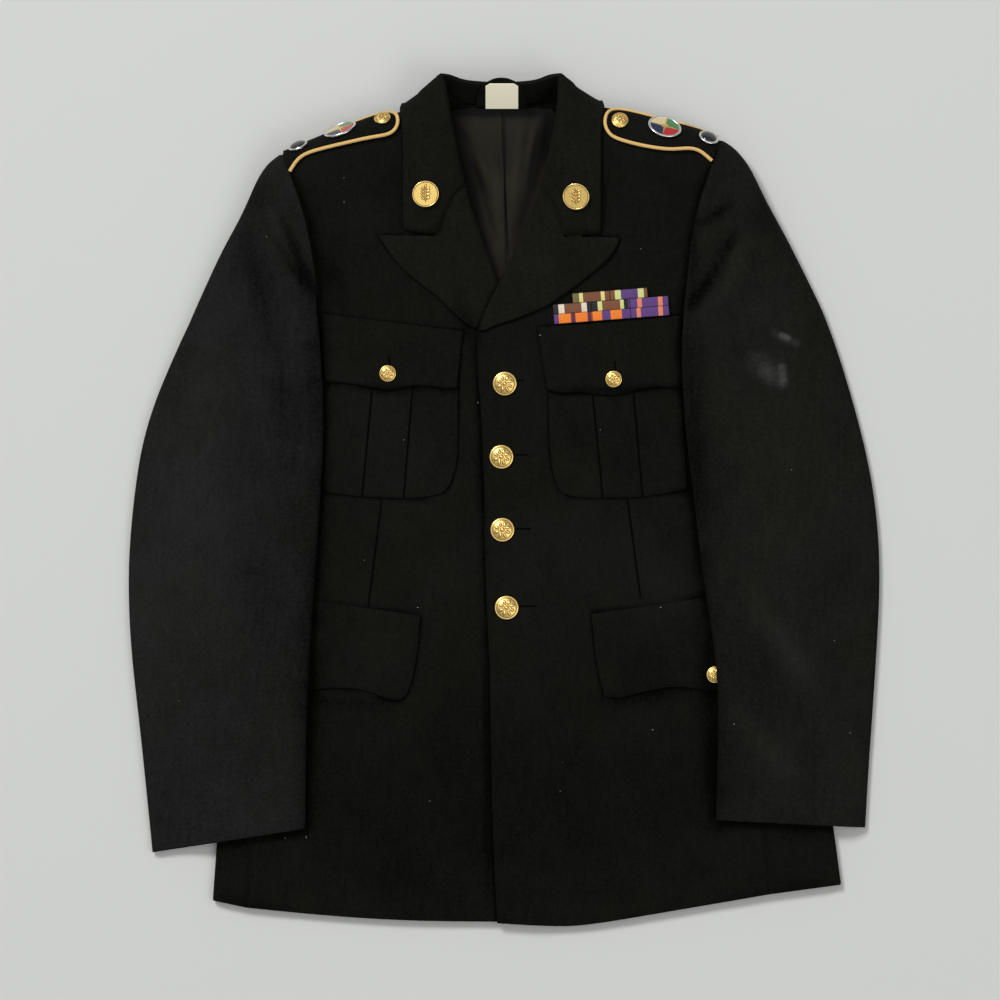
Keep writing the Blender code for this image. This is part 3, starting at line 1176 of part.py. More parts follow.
def add_ribbon_rack():
    """Three rows of ribbon on one backing, a flat plate pinned to the left front."""
    tilt = math.radians(RACK_TILT)
    along = np.array((math.cos(tilt), math.sin(tilt)))
    up = np.array((-math.sin(tilt), math.cos(tilt)))
    count = len(RACK_ROWS)
    outline = []
    for k, row in enumerate(RACK_ROWS):
        low = (k - count / 2) * RIBBON_HEIGHT
        outline += [(row[1], low), (row[1], low + RIBBON_HEIGHT)]
    for k, row in reversed(list(enumerate(RACK_ROWS))):
        low = (k - count / 2) * RIBBON_HEIGHT
        outline += [(row[0], low + RIBBON_HEIGHT), (row[0], low)]
    outline = list(dict.fromkeys(outline))
    centre = np.array(RACK_CENTRE)
    plan = np.array([centre + along * a + up * b for a, b in outline])
    probe = np.vstack([plan + (centre - plan) * t for t in (0.0, 0.25, 0.5, 0.75, 1.0)])
    ground = tops([tree_of("front_left")], probe[None])[0]
    fit = np.linalg.lstsq(np.column_stack([probe, np.ones(len(probe))]), ground, rcond=None)[0]
    over = (ground - (probe @ fit[:2] + fit[2])).max()
    base = plan @ fit[:2] + fit[2] + over + LAY
    low = [(*p, z) for p, z in zip(plan, base)]
    high = [(*p, z + RACK_DEPTH) for p, z in zip(plan, base)]
    make_plate("ribbon_rack", low, high, RIBBON)


def main():
    """Build the tunic from the floor up."""
    for obj in list(bpy.data.objects):
        bpy.data.objects.remove(obj, do_unlink=True)
    add_back()
    add_side_panels()
    add_lining()
    add_fronts()
    add_lapel("right")
    add_lapel("left")
    add_collar()
    add_neck_patch()
    add_sleeves()
    add_breast_pockets()
    add_flaps()
    add_straps()
    add_ribbon_rack()
    add_metal()


main()
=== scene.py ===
# %% [markdown]
# # A military dress tunic, laid flat
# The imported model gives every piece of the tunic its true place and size. This lesson dresses
# those solids: finer cloth, seams, stitches, metal with relief, and a finish for each.
# Sizes are millimetres in the tables and metres in the meshes, with +Y towards the collar.

# %% Load the fixed frame
import math

import bmesh
import bpy
import numpy as np
from mathutils import Matrix, Vector
from mathutils.bvhtree import BVHTree


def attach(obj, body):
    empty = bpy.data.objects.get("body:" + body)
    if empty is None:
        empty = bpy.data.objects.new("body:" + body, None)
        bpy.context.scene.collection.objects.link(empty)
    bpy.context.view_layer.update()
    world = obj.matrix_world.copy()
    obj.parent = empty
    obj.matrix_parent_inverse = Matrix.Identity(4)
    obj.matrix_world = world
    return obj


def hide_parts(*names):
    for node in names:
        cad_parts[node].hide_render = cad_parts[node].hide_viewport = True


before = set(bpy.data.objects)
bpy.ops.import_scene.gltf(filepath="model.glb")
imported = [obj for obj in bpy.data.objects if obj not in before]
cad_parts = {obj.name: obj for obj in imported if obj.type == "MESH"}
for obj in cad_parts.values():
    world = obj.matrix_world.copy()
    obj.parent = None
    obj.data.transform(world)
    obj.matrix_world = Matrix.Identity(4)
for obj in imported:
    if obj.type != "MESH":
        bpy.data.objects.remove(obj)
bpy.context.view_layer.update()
MM = 0.001

# %% [markdown]
# ## The camera
# The tunic is seen from straight above. A long lens far away keeps raised parts such as the
# collar in their places, as a close wide lens would lean them outwards.

# %% Camera
CAMERA_HEIGHT = 12.0
VIEW_WIDTH = 0.9455      # metres across the picture at the cloth
CLOTH_HEIGHT = 0.020
CAMERA_X, CAMERA_Y = -0.00395, 0.00035
SENSOR = 36.0

bpy.ops.object.camera_add(location=(CAMERA_X, CAMERA_Y, CAMERA_HEIGHT), rotation=(0, 0, 0))
camera = bpy.context.object
camera.name = "camera"
camera.data.sensor_width = SENSOR
camera.data.lens = SENSOR * (CAMERA_HEIGHT - CLOTH_HEIGHT) / VIEW_WIDTH
camera.data.clip_end = 40.0
bpy.context.scene.camera = camera
print("lens", round(camera.data.lens, 1), "mm")

# %% [markdown]
# ## Floor and light
# A plain pale floor, a large soft lamp from the upper left, a weaker one from the lower right,
# and a light grey world. A wide lamp far overhead is there for the metal: a flat gold disc is a
# mirror, so it only looks bright when something bright lies above it.

# %% Floor
bpy.ops.mesh.primitive_plane_add(size=12.0, location=(0, 0, -0.0006))
floor = bpy.context.object
floor.name = "floor"
floor_paint = bpy.data.materials.new("pale_floor")
floor_paint.use_nodes = True
floor_shader = floor_paint.node_tree.nodes["Principled BSDF"]
floor_shader.inputs["Base Color"].default_value = (0.575, 0.580, 0.560, 1)
floor_shader.inputs["Roughness"].default_value = 0.95
floor_shader.inputs["Specular IOR Level"].default_value = 0.1
floor.data.materials.append(floor_paint)
print("floor laid")

# %% Lamps and world
LAMPS = (
    # name, place, size, watts
    ("window_lamp", (-3.4, 4.5, 6.2), 2.4, 470.0),
    ("fill_lamp", (3.0, -1.6, 4.4), 3.0, 60.0),
    ("overhead_lamp", (0.0, 0.0, 13.5), 7.0, 230.0),
)
for name, place, size, watts in LAMPS:
    bpy.ops.object.light_add(type="AREA", location=place)
    lamp = bpy.context.object
    lamp.name = name
    lamp.data.shape = "SQUARE"
    lamp.data.size = size
    lamp.data.energy = watts
    lamp.rotation_euler = (-Vector(place)).to_track_quat("-Z", "Y").to_euler()
world = bpy.data.worlds.new("soft_room")
world.use_nodes = True
world.node_tree.nodes["Background"].inputs["Color"].default_value = (0.95, 0.97, 1.0, 1)
world.node_tree.nodes["Background"].inputs["Strength"].default_value = 0.36
bpy.context.scene.world = world
bpy.context.scene.view_settings.view_transform = "Standard"
print("lamps:", [lamp[0] for lamp in LAMPS])

# %% [markdown]
# ## Working like a seamstress
# A few small helpers pick one piece at a time, copy a solid, and turn its loose triangles back
# into quads. Quads are what Subdivision Surface likes: it rounds them evenly, as cloth rounds.

# %% Pick and copy pieces
def pick(*pieces):
    """Only these pieces are selected, and the first is active."""
    if bpy.context.object and bpy.context.object.mode != "OBJECT":
        bpy.ops.object.mode_set(mode="OBJECT")
    bpy.ops.object.select_all(action="DESELECT")
    for piece in pieces:
        piece.select_set(True)
    bpy.context.view_layer.objects.active = pieces[0]


def copy_node(node, name):
    """A copy of a CAD node with its own mesh, its triangles merged and paired into quads."""
    piece = bpy.data.objects.new(name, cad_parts[node].data.copy())
    bpy.context.scene.collection.objects.link(piece)
    piece.data.materials.clear()
    pick(piece)
    bpy.ops.object.mode_set(mode="EDIT")
    bpy.ops.mesh.select_all(action="SELECT")
    bpy.ops.mesh.remove_doubles(threshold=0.01 * MM)
    bpy.ops.mesh.tris_convert_to_quads(face_threshold=math.radians(60),
                                       shape_threshold=math.radians(80))
    bpy.ops.object.mode_set(mode="OBJECT")
    return piece


def points_of(piece):
    """The points of a mesh as rows of x, y and z, in metres."""
    places = np.empty(len(piece.data.vertices) * 3)
    piece.data.vertices.foreach_get("co", places)
    return places.reshape(-1, 3)


def apply_modifiers(piece):
    """Every modifier becomes mesh."""
    pick(piece)
    for modifier in list(piece.modifiers):
        bpy.ops.object.modifier_apply(modifier=modifier.name)


print("picking, copying and applying are ready")

# %% [markdown]
# ## Rounding a wall of cloth
# Subdivision Surface rounds a solid all over, and cut cloth should keep its edge. A crease holds
# an edge in place. It could be set by hand on each edge. Here every edge where two faces meet
# sharply gets one, and it is full at corners, as a hem would show a notch at a soft corner.

# %% Round cloth
CUT_EDGE = math.radians(55)     # faces that turn by more than this meet at a cut edge
CORNER = math.radians(125)      # cut edges that meet at less than this make a corner
EDGE_CREASE = 0.97


def crease_layer(elements, name):
    return elements.layers.float.get(name) or elements.layers.float.new(name)


def round_cloth(piece, levels):
    """Subdivide a wall of cloth. Its cut edges keep their line through creases."""
    mesh = bmesh.new()
    mesh.from_mesh(piece.data)
    crease = crease_layer(mesh.edges, "crease_edge")
    corner = crease_layer(mesh.verts, "crease_vert")
    for edge in mesh.edges:
        if len(edge.link_faces) == 2 and edge.calc_face_angle(0.0) > CUT_EDGE:
            edge[crease] = EDGE_CREASE
    for vertex in mesh.verts:
        sharp = [edge for edge in vertex.link_edges if edge[crease] > 0]
        rays = [edge.other_vert(vertex).co - vertex.co for edge in sharp]
        if any(one.angle(other, math.pi) < CORNER
               for k, one in enumerate(rays) for other in rays[k + 1:]):
            vertex[corner] = 1.0
            for edge in sharp:
                edge[crease] = 1.0
    mesh.to_mesh(piece.data)
    mesh.free()
    smoother = piece.modifiers.new("rounding", "SUBSURF")
    smoother.levels = levels
    smoother.render_levels = levels
    apply_modifiers(piece)
    piece.data.shade_smooth()
    return piece


print("rounding is ready")

# %% [markdown]
# ## Painting with expressions
# A material is a web of nodes. Wrapping a socket in a small class lets the web be written as
# sums: `1 - mask` adds its own Math node. Colours never pass through Math, as it makes them grey.

# %% A socket that adds up
class Value:
    """A shader socket that can be used in Python sums."""

    def __init__(self, paint, socket):
        self.paint = paint
        self.socket = socket

    def math(self, operation, *others):
        return self.paint.add("ShaderNodeMath", {"operation": operation}, self, *others)

    def __add__(self, other):
        return self.math("ADD", other)

    def __sub__(self, other):
        return self.math("SUBTRACT", other)

    def __rsub__(self, other):
        return self.paint.add("ShaderNodeMath", {"operation": "SUBTRACT"}, other, self)

    def __mul__(self, other):
        return self.math("MULTIPLY", other)

    def __truediv__(self, other):
        return self.math("DIVIDE", other)

    def __pow__(self, other):
        return self.math("POWER", other)

    __radd__ = __add__
    __rmul__ = __mul__

    def step(self, low, high):
        """0 below low and 1 above high, smooth between."""
        return self.paint.add("ShaderNodeMapRange", {"interpolation_type": "SMOOTHSTEP"},
                              self, low, high, 0.0, 1.0)

    def limited(self):
        """Kept between 0 and 1."""
        return self.math("MAXIMUM", 0.0).math("MINIMUM", 1.0)


print("sums are ready")

# %% A material and its nodes
class Paint:
    """A material and the means to add nodes to it."""

    def __init__(self, name, colour, roughness, metallic=0.0, **constants):
        self.material = bpy.data.materials.new(name)
        self.material.use_nodes = True
        self.tree = self.material.node_tree
        self.shader = self.tree.nodes["Principled BSDF"]
        self.feed(self.shader.inputs["Base Color"], (*colour, 1.0))
        self.feed(self.shader.inputs["Roughness"], roughness)
        self.feed(self.shader.inputs["Metallic"], metallic)
        for socket, value in constants.items():
            self.feed(self.shader.inputs[socket.replace("_", " ")], value)
        self.material.diffuse_color = (*colour, 1.0)
        self.place = self.add("ShaderNodeTexCoord", {}, out="Object")

    def feed(self, socket, value):
        if isinstance(value, Value):
            self.tree.links.new(value.socket, socket)
        else:
            socket.default_value = value

    def add(self, kind, settings, *inputs, out=0, **named):
        """A node of any kind: settings first, then its sockets by place or by name."""
        node = self.tree.nodes.new(kind)
        for key, value in settings.items():
            if key == "stops":
                ramp = node.color_ramp.elements
                while len(ramp) < len(value):
                    ramp.new(0.5)
                for element, (place, colour) in zip(ramp, value):
                    element.position = place
                    element.color = (*colour, 1.0)
            elif key == "steps":
                node.color_ramp.interpolation = value
            else:
                setattr(node, key, value)
        for socket, value in zip(node.inputs, inputs):
            self.feed(socket, value)
        for socket, value in named.items():
            self.feed(node.inputs[socket.replace("_", " ")], value)
        return Value(self, node.outputs[out])

    def axes(self):
        """The x, y and z of a point of the piece, in metres."""
        split = self.add("ShaderNodeSeparateXYZ", {}, self.place)
        return [Value(self, output) for output in split.socket.node.outputs]

    def noise(self, scale, detail=2.0, rough=0.5, stretch=None):
        """Cloudy noise. stretch shrinks an axis to draw the clouds out along it."""
        place = self.place
        if stretch:
            place = self.add("ShaderNodeVectorMath", {"operation": "MULTIPLY"}, place, stretch)
        return self.add("ShaderNodeTexNoise", {}, Vector=place, Scale=scale, Detail=detail,
                        Roughness=rough)

    def tone(self):
        """The piece's own attribute: where its cloth is painted lighter or darker, for nap tone and
        as painted shade and light.
        """
        return self.add("ShaderNodeAttribute", {"attribute_name": "tone"}, out="Fac")

    def mix(self, share, one, other, blend="MIX"):
        """Colour one where share is 0 and other where it is 1."""
        node = self.tree.nodes.new("ShaderNodeMix")
        node.data_type = "RGBA"
        node.blend_type = blend
        for index, value in ((0, share), (6, one), (7, other)):
            value = value if isinstance(value, (Value, float)) else (*value[:3], 1.0)
            self.feed(node.inputs[index], value)
        return Value(self, node.outputs[2])

    def colour(self, value):
        self.feed(self.shader.inputs["Base Color"], value)

    def roughness(self, value):
        self.feed(self.shader.inputs["Roughness"], value)

    def bump(self, height, distance, strength=1.0):
        """Small relief. Its height is a number from 0 to 1, over this distance in metres."""
        result = self.add("ShaderNodeBump", {}, Strength=strength, Distance=distance, Height=height)
        self.feed(self.shader.inputs["Normal"], result)


def scaled(colour, *shares):
    """A darker or lighter colour. Give one share for all of it, or one for each channel."""
    return tuple(c * share for c, share in zip(colour, shares if len(shares) == 3 else shares * 3))


print("paint box ready")

# %% [markdown]
# ## Black wool serge
# Serge is a wool twill: fine ribs climb at a steep angle, and a short nap blurs them. It could be
# one flat black, but wool is never even, so its colour drifts, its ribs catch light, and a few
# specks of lint lie on it. A touch of sheen lightens it where it curves away, as nap does.

# %% Marks on cloth
# This near-black is painted shade: the darkness in the grooves of darts and pleats, and inside
# buttonhole slits.
SHADE_BLACK = (0.0006, 0.0006, 0.0005)
LINT_COLOUR, CHALK_COLOUR = (0.35, 0.34, 0.30), (0.30, 0.31, 0.29)
LINT_CHANCE = 0.985


def near_line(paint, line, width):
    """1 on a line between two points in millimetres, and 0 from this many metres away."""
    x, y, _ = paint.axes()
    x0, y0, x1, y1 = (place * MM for place in line)
    across, up = x1 - x0, y1 - y0
    share = ((x - x0) * across + (y - y0) * up) / (across ** 2 + up ** 2)
    share = share.limited()
    away = ((x - x0 - share * across) ** 2.0 + (y - y0 - share * up) ** 2.0) ** 0.5
    return 1.0 - away.step(width * 0.1, width)


def stray_lint(paint):
    """1 on a few tiny dots. Each cell of the noise holds a dot, and chance keeps 1 in 70."""
    speck = paint.add("ShaderNodeTexVoronoi", {}, Vector=paint.place, Scale=55.0, Randomness=1.0)
    chance = paint.add("ShaderNodeTexWhiteNoise", {},
                       Value(paint, speck.socket.node.outputs["Position"]))
    return (1.0 - speck.step(0.012, 0.02)) * chance.step(LINT_CHANCE, LINT_CHANCE + 0.001)


print("marks ready")

# %% A recipe for wool
def wool(name, colour, chalk=(), groove_shade_lines=()):
    """Wool cloth. chalk lists smudges: a line, its width in millimetres and its strength. The last
    argument lists darts and pleats, each with a near-black line of painted shade along its groove."""
    paint = Paint(name, colour, 0.85, Specular_IOR_Level=0.025, Sheen_Weight=0.012,
                  Sheen_Roughness=0.5, Sheen_Tint=(1.0, 0.98, 0.88, 1.0))
    x, y, _ = paint.axes()
    rib = ((x * 2.0 + y) * 3400.0).math("SINE") * 0.5 + 0.5
    nap = paint.noise(1400.0, 3.0, 0.7)
    drift = paint.noise(6.0, 3.0, 0.6)
    mottle = paint.noise(38.0, 3.0, 0.6)
    weave = paint.noise(330.0, 4.0, 0.75)
    streak = paint.noise(240.0, 3.0, 0.6, (1.0, 0.16, 0.5))
    # the piece's attribute adds nap tone, painted shade and painted light to the cloth's colour
    shade = (rib * 0.10 + nap * 0.16 + drift * 0.45 + mottle * 0.28 + weave * 0.80 + streak * 0.30
             - 0.57) + paint.tone()
    olive, brown = scaled(colour, 1.862, 1.919, 1.767), scaled(colour, 1.938, 1.9, 2.014)
    light = paint.mix(paint.noise(9.0).step(0.35, 0.65), olive, brown)
    cloth = paint.mix(shade.limited(), scaled(colour, 0.12), light)
    # painted shade: a near-black line along each dart and pleat groove
    for line in groove_shade_lines:
        cloth = paint.mix(near_line(paint, line, 1.7 * MM), cloth, SHADE_BLACK)
    cloth = paint.mix(stray_lint(paint) * 0.5, cloth, LINT_COLOUR)
    for x0, y0, x1, y1, width, strength in chalk:
        smudge = near_line(paint, (x0, y0, x1, y1), width * MM) * (mottle * 1.1 + weave * 1.1 - 0.4)
        cloth = paint.mix(smudge.math("MAXIMUM", 0.0) * strength, cloth, CHALK_COLOUR)
    paint.colour(cloth)
    paint.roughness(0.78 + nap * 0.16)
    paint.bump(rib * 0.35 + nap * 0.65, 0.00035, 0.6)
    return paint.material


print("wool recipe ready")

# %% Six lots of serge
SERGE_COLOUR = (0.0056, 0.0058, 0.0044)
DARTS = ((-116.0, -0.6, -128.4, -99.4), (116.7, 0.4, 129.0, -90.8))
PLEATS = ((-124.9, 104.8, -134.4, 4.1), (-86.6, 107.7, -95.1, 2.2),
          (83.9, 99.1, 93.3, 2.2), (122.4, 102.0, 131.0, 3.2))
CHALK = ((256.0, 157.5, 276.0, 148.5, 6.5, 0.05), (262.5, 156.0, 268.0, 153.2, 4.5, 0.17),
         (238.0, 131.0, 258.0, 118.0, 17.0, 0.04), (262.5, 126.0, 264.0, 112.0, 6.0, 0.12),
         (247.0, 122.0, 262.0, 112.0, 11.0, 0.05))
serge = wool("serge", SERGE_COLOUR)
front_serge = wool("front_serge", SERGE_COLOUR, groove_shade_lines=DARTS)
pocket_serge = wool("pocket_serge", SERGE_COLOUR, groove_shade_lines=PLEATS)
lapel_serge = wool("lapel_serge", (0.0072, 0.0076, 0.0053))
right_sleeve_serge = wool("right_sleeve_serge", (0.0106, 0.0110, 0.0102))
left_sleeve_serge = wool("left_sleeve_serge", (0.0088, 0.0089, 0.0072), chalk=CHALK)
print("wool:", [cloth.name for cloth in (serge, front_serge, pocket_serge, lapel_serge,
                                         right_sleeve_serge, left_sleeve_serge)])

# %% [markdown]
# ## Soft folds
# Pressed wool still keeps a few soft folds, where a sleeve hangs from its seam or a button pulls.
# They could be sculpted by hand. Here each fold is a rounded ridge along a line, listed with its
# width and height, so that every layer of cloth on the chest moves by the same amount.

# %% Folds of the body and the sleeves
BODY_FOLDS = (
    # from x, y to x, y, width, height (a valley has a negative height), all in millimetres
    (-60, 92, -78, -60, 16, 1.2),
    (-100, 60, -112, -20, 10, -0.8),
    (-40, -40, -90, -150, 18, 1.2),
    (-70, -120, -60, -300, 22, 1),
    (-130, -200, -140, -330, 20, 1.2),
    (48, 20, 96, -46, 14, 1.3),
    (36, -60, 92, -70, 9, 0.8),
    (52, -110, 70, -300, 24, 1.2),
    (150, -190, 160, -330, 20, 1),
    (104, -150, 120, -340, 18, -0.9),
    (-150, 300, -118, 230, 16, 1),
    (-172, 280, -160, 200, 12, -1.2),
    (150, 310, 128, 240, 14, 0.9),
    (172, 270, 168, 212, 8, -0.9),
)
SLEEVE_FOLDS = (
    (-212, 254.9, -196.8, 221.7, 5, -2.6),
    (-196.8, 221.7, -183.5, 199.9, 5, -2.2),
    (-205.4, 259.7, -192.1, 246.4, 3, 1.4),
    (-221, 262, -206, 219, 6, 2.4),
    (-240.5, 244.5, -227.2, 178, 13, -3),
    (-227.2, 178, -210.1, 111.5, 13, -2.7),
    (-210.1, 111.5, -200.6, 33.6, 12, -1.9),
    (-262, 210, -246, 120, 16, 2.2),
    (-300, -10, -236, -60, 18, 2.1),
    (-310, -60, -250, -120, 12, -1.3),
    (-296, -180, -236, -240, 16, 1.8),
    (215.5, 274.9, 179.4, 248.3, 3.5, -1.9),
    (224, 268, 190, 240, 5, 1.6),
    (212.7, 244.5, 202.2, 217.9, 5, -2.9),
    (202.2, 217.9, 175.6, 178, 5, -2.6),
    (226, 238, 212.7, 204.6, 6, 2.4),
    (212.7, 204.6, 190.8, 171.4, 6, 2.1),
    (262, 240, 240, 110, 16, 1.9),
    (230.7, -94.7, 291.5, -172.5, 11, 3),
    (243, -80, 303, -150, 10, -1.6),
    (216, -210.6, 274.4, -263.3, 10, 2.6),
    (226, -196, 288, -243, 9, -1.4),
    (232, 40, 300, -30, 18, 1.9),
)
print("folds:", len(BODY_FOLDS), "on the body,", len(SLEEVE_FOLDS), "on the sleeves")

# %% [markdown]
# ## Nap tone and painted shade
# Brushed wool looks lighter or darker with the lie of its nap. Shade and light are painted into the
# cloth as well: darker along fold valleys, beside the sleeves and under the flaps, lighter along
# fold ridges. An image could say where. Here a table of soft strokes does, and each piece keeps
# their sum in an attribute, which stays on the cloth when it moves.

# %% Strokes of nap tone and painted shade
BODY_TONE_AND_SHADE = (
    # from x, y to x, y, width in millimetres, and how much lighter (or darker) the cloth is painted
    # there: nap tone, and painted shade and light
    (-203.4, 308.1, -189.2, 271.1, 9, -0.2),
    (-189.2, 271.1, -176.8, 197.9, 10, -0.3),
    (-165.4, 226.4, -155.9, 190.3, 12, -0.22),
    (-178.7, 190.3, -171.1, 76.3, 9, -0.35),
    (-171.1, 76.3, -178.7, -113.6, 9, -0.3),
    (-182.5, -113.6, -186.3, -303.6, 12, -0.35),
    (192.7, 304.4, 183.2, 247.3, 8, -0.25),
    (183.2, 247.3, 176.6, 197, 8, -0.35),
    (170.8, 190.3, 174.7, 57.3, 9, -0.35),
    (176.6, 57.3, 187.9, -94.6, 9, -0.35),
    (191.8, -94.6, 201.2, -303.6, 12, -0.45),
    (-40.1, 180.8, -26.7, 147.6, 8, -0.3),
    (-165.4, 108.6, -46.7, 102.9, 4, -0.3),
    (43.5, 102.9, 167.1, 106.7, 4, -0.3),
    (-176.8, -187.7, -99, -191.5, 4, -0.25),
    (91, -191.5, 186.1, -184.9, 4, -0.25),
    (-26.7, 142.8, -19.1, -56.6, 3.5, -0.3),
    (-19.1, -56.6, -15.3, -379.6, 3.5, -0.3),
    (-151.2, 285.4, -118, 247.3, 22, 0.14),
    (-136.9, -56.6, -118, -132.6, 20, 0.12),
    (129.1, -56.6, 176.6, -94.6, 18, 0.16),
    (-80, -265.6, -61, -341.6, 30, 0.12),
    (91, -265.6, 129.1, -341.6, 30, 0.12),
    (53, 38.3, 91, 19.4, 15, 0.12),
    (-190, -310, 200, -300, 85, -0.20),
    (-120, 60, -50, -110, 42, 0.10),
    (30, 10, 130, -90, 42, 0.10),
    (-150, -130, -100, -180, 26, 0.06),
    (100, -150, 170, -170, 26, -0.10),
    (48, 98, 80, 50, 8, -0.16),
    (60, 92, 76, 60, 5, 0.10),
)
# The sleeves' strokes are painted shade along fold valleys and inner edges, and painted light on
# fold ridges and outer halves.
SLEEVE_TONE_AND_SHADE = (
    (-330, 60, -345, -220, 26, 0.12),
    (-225, 60, -235, -260, 30, -0.10),
    (212, 30, 228, -280, 30, -0.14),
    (300, -230, 330, -290, 30, 0.14),
    (-178.7, 190.3, -173, 19.4, 16, -0.35),
    (-173, 19.4, -186.3, -311.2, 16, -0.35),
    (-245.2, 251.2, -218.6, 152.3, 11, -0.32),
    (-218.6, 152.3, -203.4, 66.8, 11, -0.28),
    (-217, 250, -202, 222, 3.5, -0.35),
    (-202, 222, -187, 203, 3.5, -0.3),
    (-203.4, 66.8, -197.7, -56.6, 14, -0.15),
    (-222.4, 273.9, -203.4, 226.4, 6, 0.25),
    (-190.1, 220.8, -176.8, 190.3, 8, -0.35),
    (-208.2, 261.6, -189.2, 214.1, 5, -0.35),
    (-241.4, 304.4, -230, 271.1, 20, -0.2),
    (-288.9, 76.3, -298.4, -113.6, 30, 0.14),
    (-260.4, 0.4, -250.9, -189.6, 30, 0.08),
    (-277.5, 161.8, -292.8, 95.3, 20, 0.1),
    (174.7, 171.3, 183.2, -56.6, 14, -0.35),
    (183.2, -56.6, 199.3, -303.6, 14, -0.4),
    (218, 252, 202.2, 222, 4, -0.40),
    (202.2, 222, 176.6, 182, 5, -0.48),
    (228.8, 247.3, 206.9, 190.3, 7, 0.3),
    (214, 280, 186, 262, 4, -0.4),
    (179.4, 271.1, 176.6, 190.3, 6, -0.3),
    (243.1, 285.4, 252.6, 247.3, 20, -0.15),
    (257.3, 190.3, 281.1, 76.3, 26, 0.1),
    (230.7, -85.2, 291.5, -172.5, 10, 0.3),
    (219.3, -203.9, 274.4, -262.8, 9, 0.3),
    (281.1, -189.6, 300.1, -284.6, 16, -0.15),
    (243.1, -132.6, 252.6, -208.6, 14, -0.15),
)
print("strokes:", len(BODY_TONE_AND_SHADE), "on the body,", len(SLEEVE_TONE_AND_SHADE), "on the sleeves")

# %% Fold the cloth and paint its tone and shade
def line_swell(table, x, y):
    """Sum at these places, in millimetres, of soft swells along the lines of a table."""
    total = np.zeros_like(x)
    for x0, y0, x1, y1, width, height in table:
        length = math.hypot(x1 - x0, y1 - y0)
        along = ((x - x0) * (x1 - x0) + (y - y0) * (y1 - y0)) / length ** 2
        nearest = np.clip(along, 0.0, 1.0)
        away = np.hypot(x - x0 - nearest * (x1 - x0), y - y0 - nearest * (y1 - y0))
        swell = 0.45 + 0.55 * np.sin(math.pi * nearest)
        total += height * swell * np.exp(-(away / width) ** 2)
    return total


def fold_cloth(piece, table, low=None):
    """Shift the cloth by its folds. Below the height low, where a sleeve turns under, it stays."""
    places = points_of(piece)
    shift = line_swell(table, places[:, 0] / MM, places[:, 1] / MM) * MM
    if low is not None:
        shift *= np.clip((places[:, 2] - low) / (5.0 * MM), 0.0, 1.0)
    places[:, 2] += shift
    piece.data.vertices.foreach_set("co", places.ravel())
    piece.data.update()


def store_tone_and_shade(piece, table):
    """Keep the strokes, of nap tone and of painted shade and light, in the piece's attribute."""
    places = points_of(piece) / MM
    tone = piece.data.attributes.new("tone", "FLOAT", "POINT")
    tone.data.foreach_set("value", line_swell(table, places[:, 0], places[:, 1]))


print("folding and brushing are ready")

# %% [markdown]
# ## The panels
# The back, fronts, side panels, lapels, collar and sleeves are cut from the same cloth. Each is
# a copy of its solid, rounded by Subdivision Surface, so it keeps its seams and its outline. A
# cloth simulation could drape them, but a pressed tunic holds a tailor's shape, not a drape.

# %% The cutting list
PANELS = (
    # node, name, levels, material, folds, cut: width, length and area in metres
    ("back", "back_panel", 1, serge, None, (0.500, 0.790, 0.345)),
    ("side_panel_left", "left_side_panel", 2, serge, None, (0.150, 0.540, 0.055)),
    ("side_panel_right", "right_side_panel", 2, serge, None, (0.120, 0.545, 0.040)),
    ("front_left", "left_front", 3, front_serge, BODY_FOLDS, (0.295, 0.800, 0.180)),
    ("front_right", "right_front", 3, front_serge, BODY_FOLDS, (0.285, 0.795, 0.180)),
    ("lapel_left", "left_lapel", 2, lapel_serge, BODY_FOLDS, (0.105, 0.160, 0.0085)),
    ("lapel_right", "right_lapel", 2, lapel_serge, BODY_FOLDS, (0.105, 0.165, 0.0090)),
    ("collar", "collar_fall", 2, lapel_serge, None, (0.480, 0.095, 0.0335)),
    ("sleeve_left_under", "left_under_sleeve", 2, left_sleeve_serge, None, (0.200, 0.670, 0.097)),
    ("sleeve_left_upper", "left_upper_sleeve", 2, left_sleeve_serge, SLEEVE_FOLDS,
     (0.215, 0.690, 0.097)),
    ("sleeve_right_under", "right_under_sleeve", 2, right_sleeve_serge, None,
     (0.200, 0.675, 0.099)),
    ("sleeve_right_upper", "right_upper_sleeve", 2, right_sleeve_serge, SLEEVE_FOLDS,
     (0.215, 0.695, 0.099)),
    ("breast_pocket_left", "left_breast_pocket", 2, pocket_serge, BODY_FOLDS,
     (0.136, 0.162, 0.0205)),
    ("breast_pocket_right", "right_breast_pocket", 2, pocket_serge, BODY_FOLDS,
     (0.130, 0.164, 0.0205)),
    ("breast_flap_left", "left_breast_flap", 2, serge, BODY_FOLDS, (0.137, 0.076, 0.0092)),
    ("breast_flap_right", "right_breast_flap", 2, serge, BODY_FOLDS, (0.135, 0.073, 0.0084)),
    ("hip_flap_left", "left_hip_flap", 2, serge, BODY_FOLDS, (0.141, 0.100, 0.0118)),
    ("hip_flap_right", "right_hip_flap", 2, serge, BODY_FOLDS, (0.142, 0.101, 0.0118)),
    ("shoulder_strap_left", "left_strap", 2, serge, None, (0.108, 0.034, 0.0036)),
    ("shoulder_strap_right", "right_strap", 2, serge, None, (0.110, 0.034, 0.0036)),
)
print(len(PANELS), "panels,", round(sum(row[-1][-1] for row in PANELS), 2), "square metres")

# %% [markdown]
# ## The outer seam of the under sleeve
# The seam that joins the two halves of a sleeve runs level along the arm. In the solid of the
# under sleeve one row of points dips to the floor there. Moving those points by hand would do,
# and giving them the height between their neighbours does the same for both sleeves.

# %% Even the seam
SEAM_DIPS = {"left_under_sleeve": (303.3, 174.3), "right_under_sleeve": (-298.7, 165.8)}
ROW_LENGTH, ROW_WIDTH, NEXT_ROW = 16, 3, 6     # millimetres from the dip


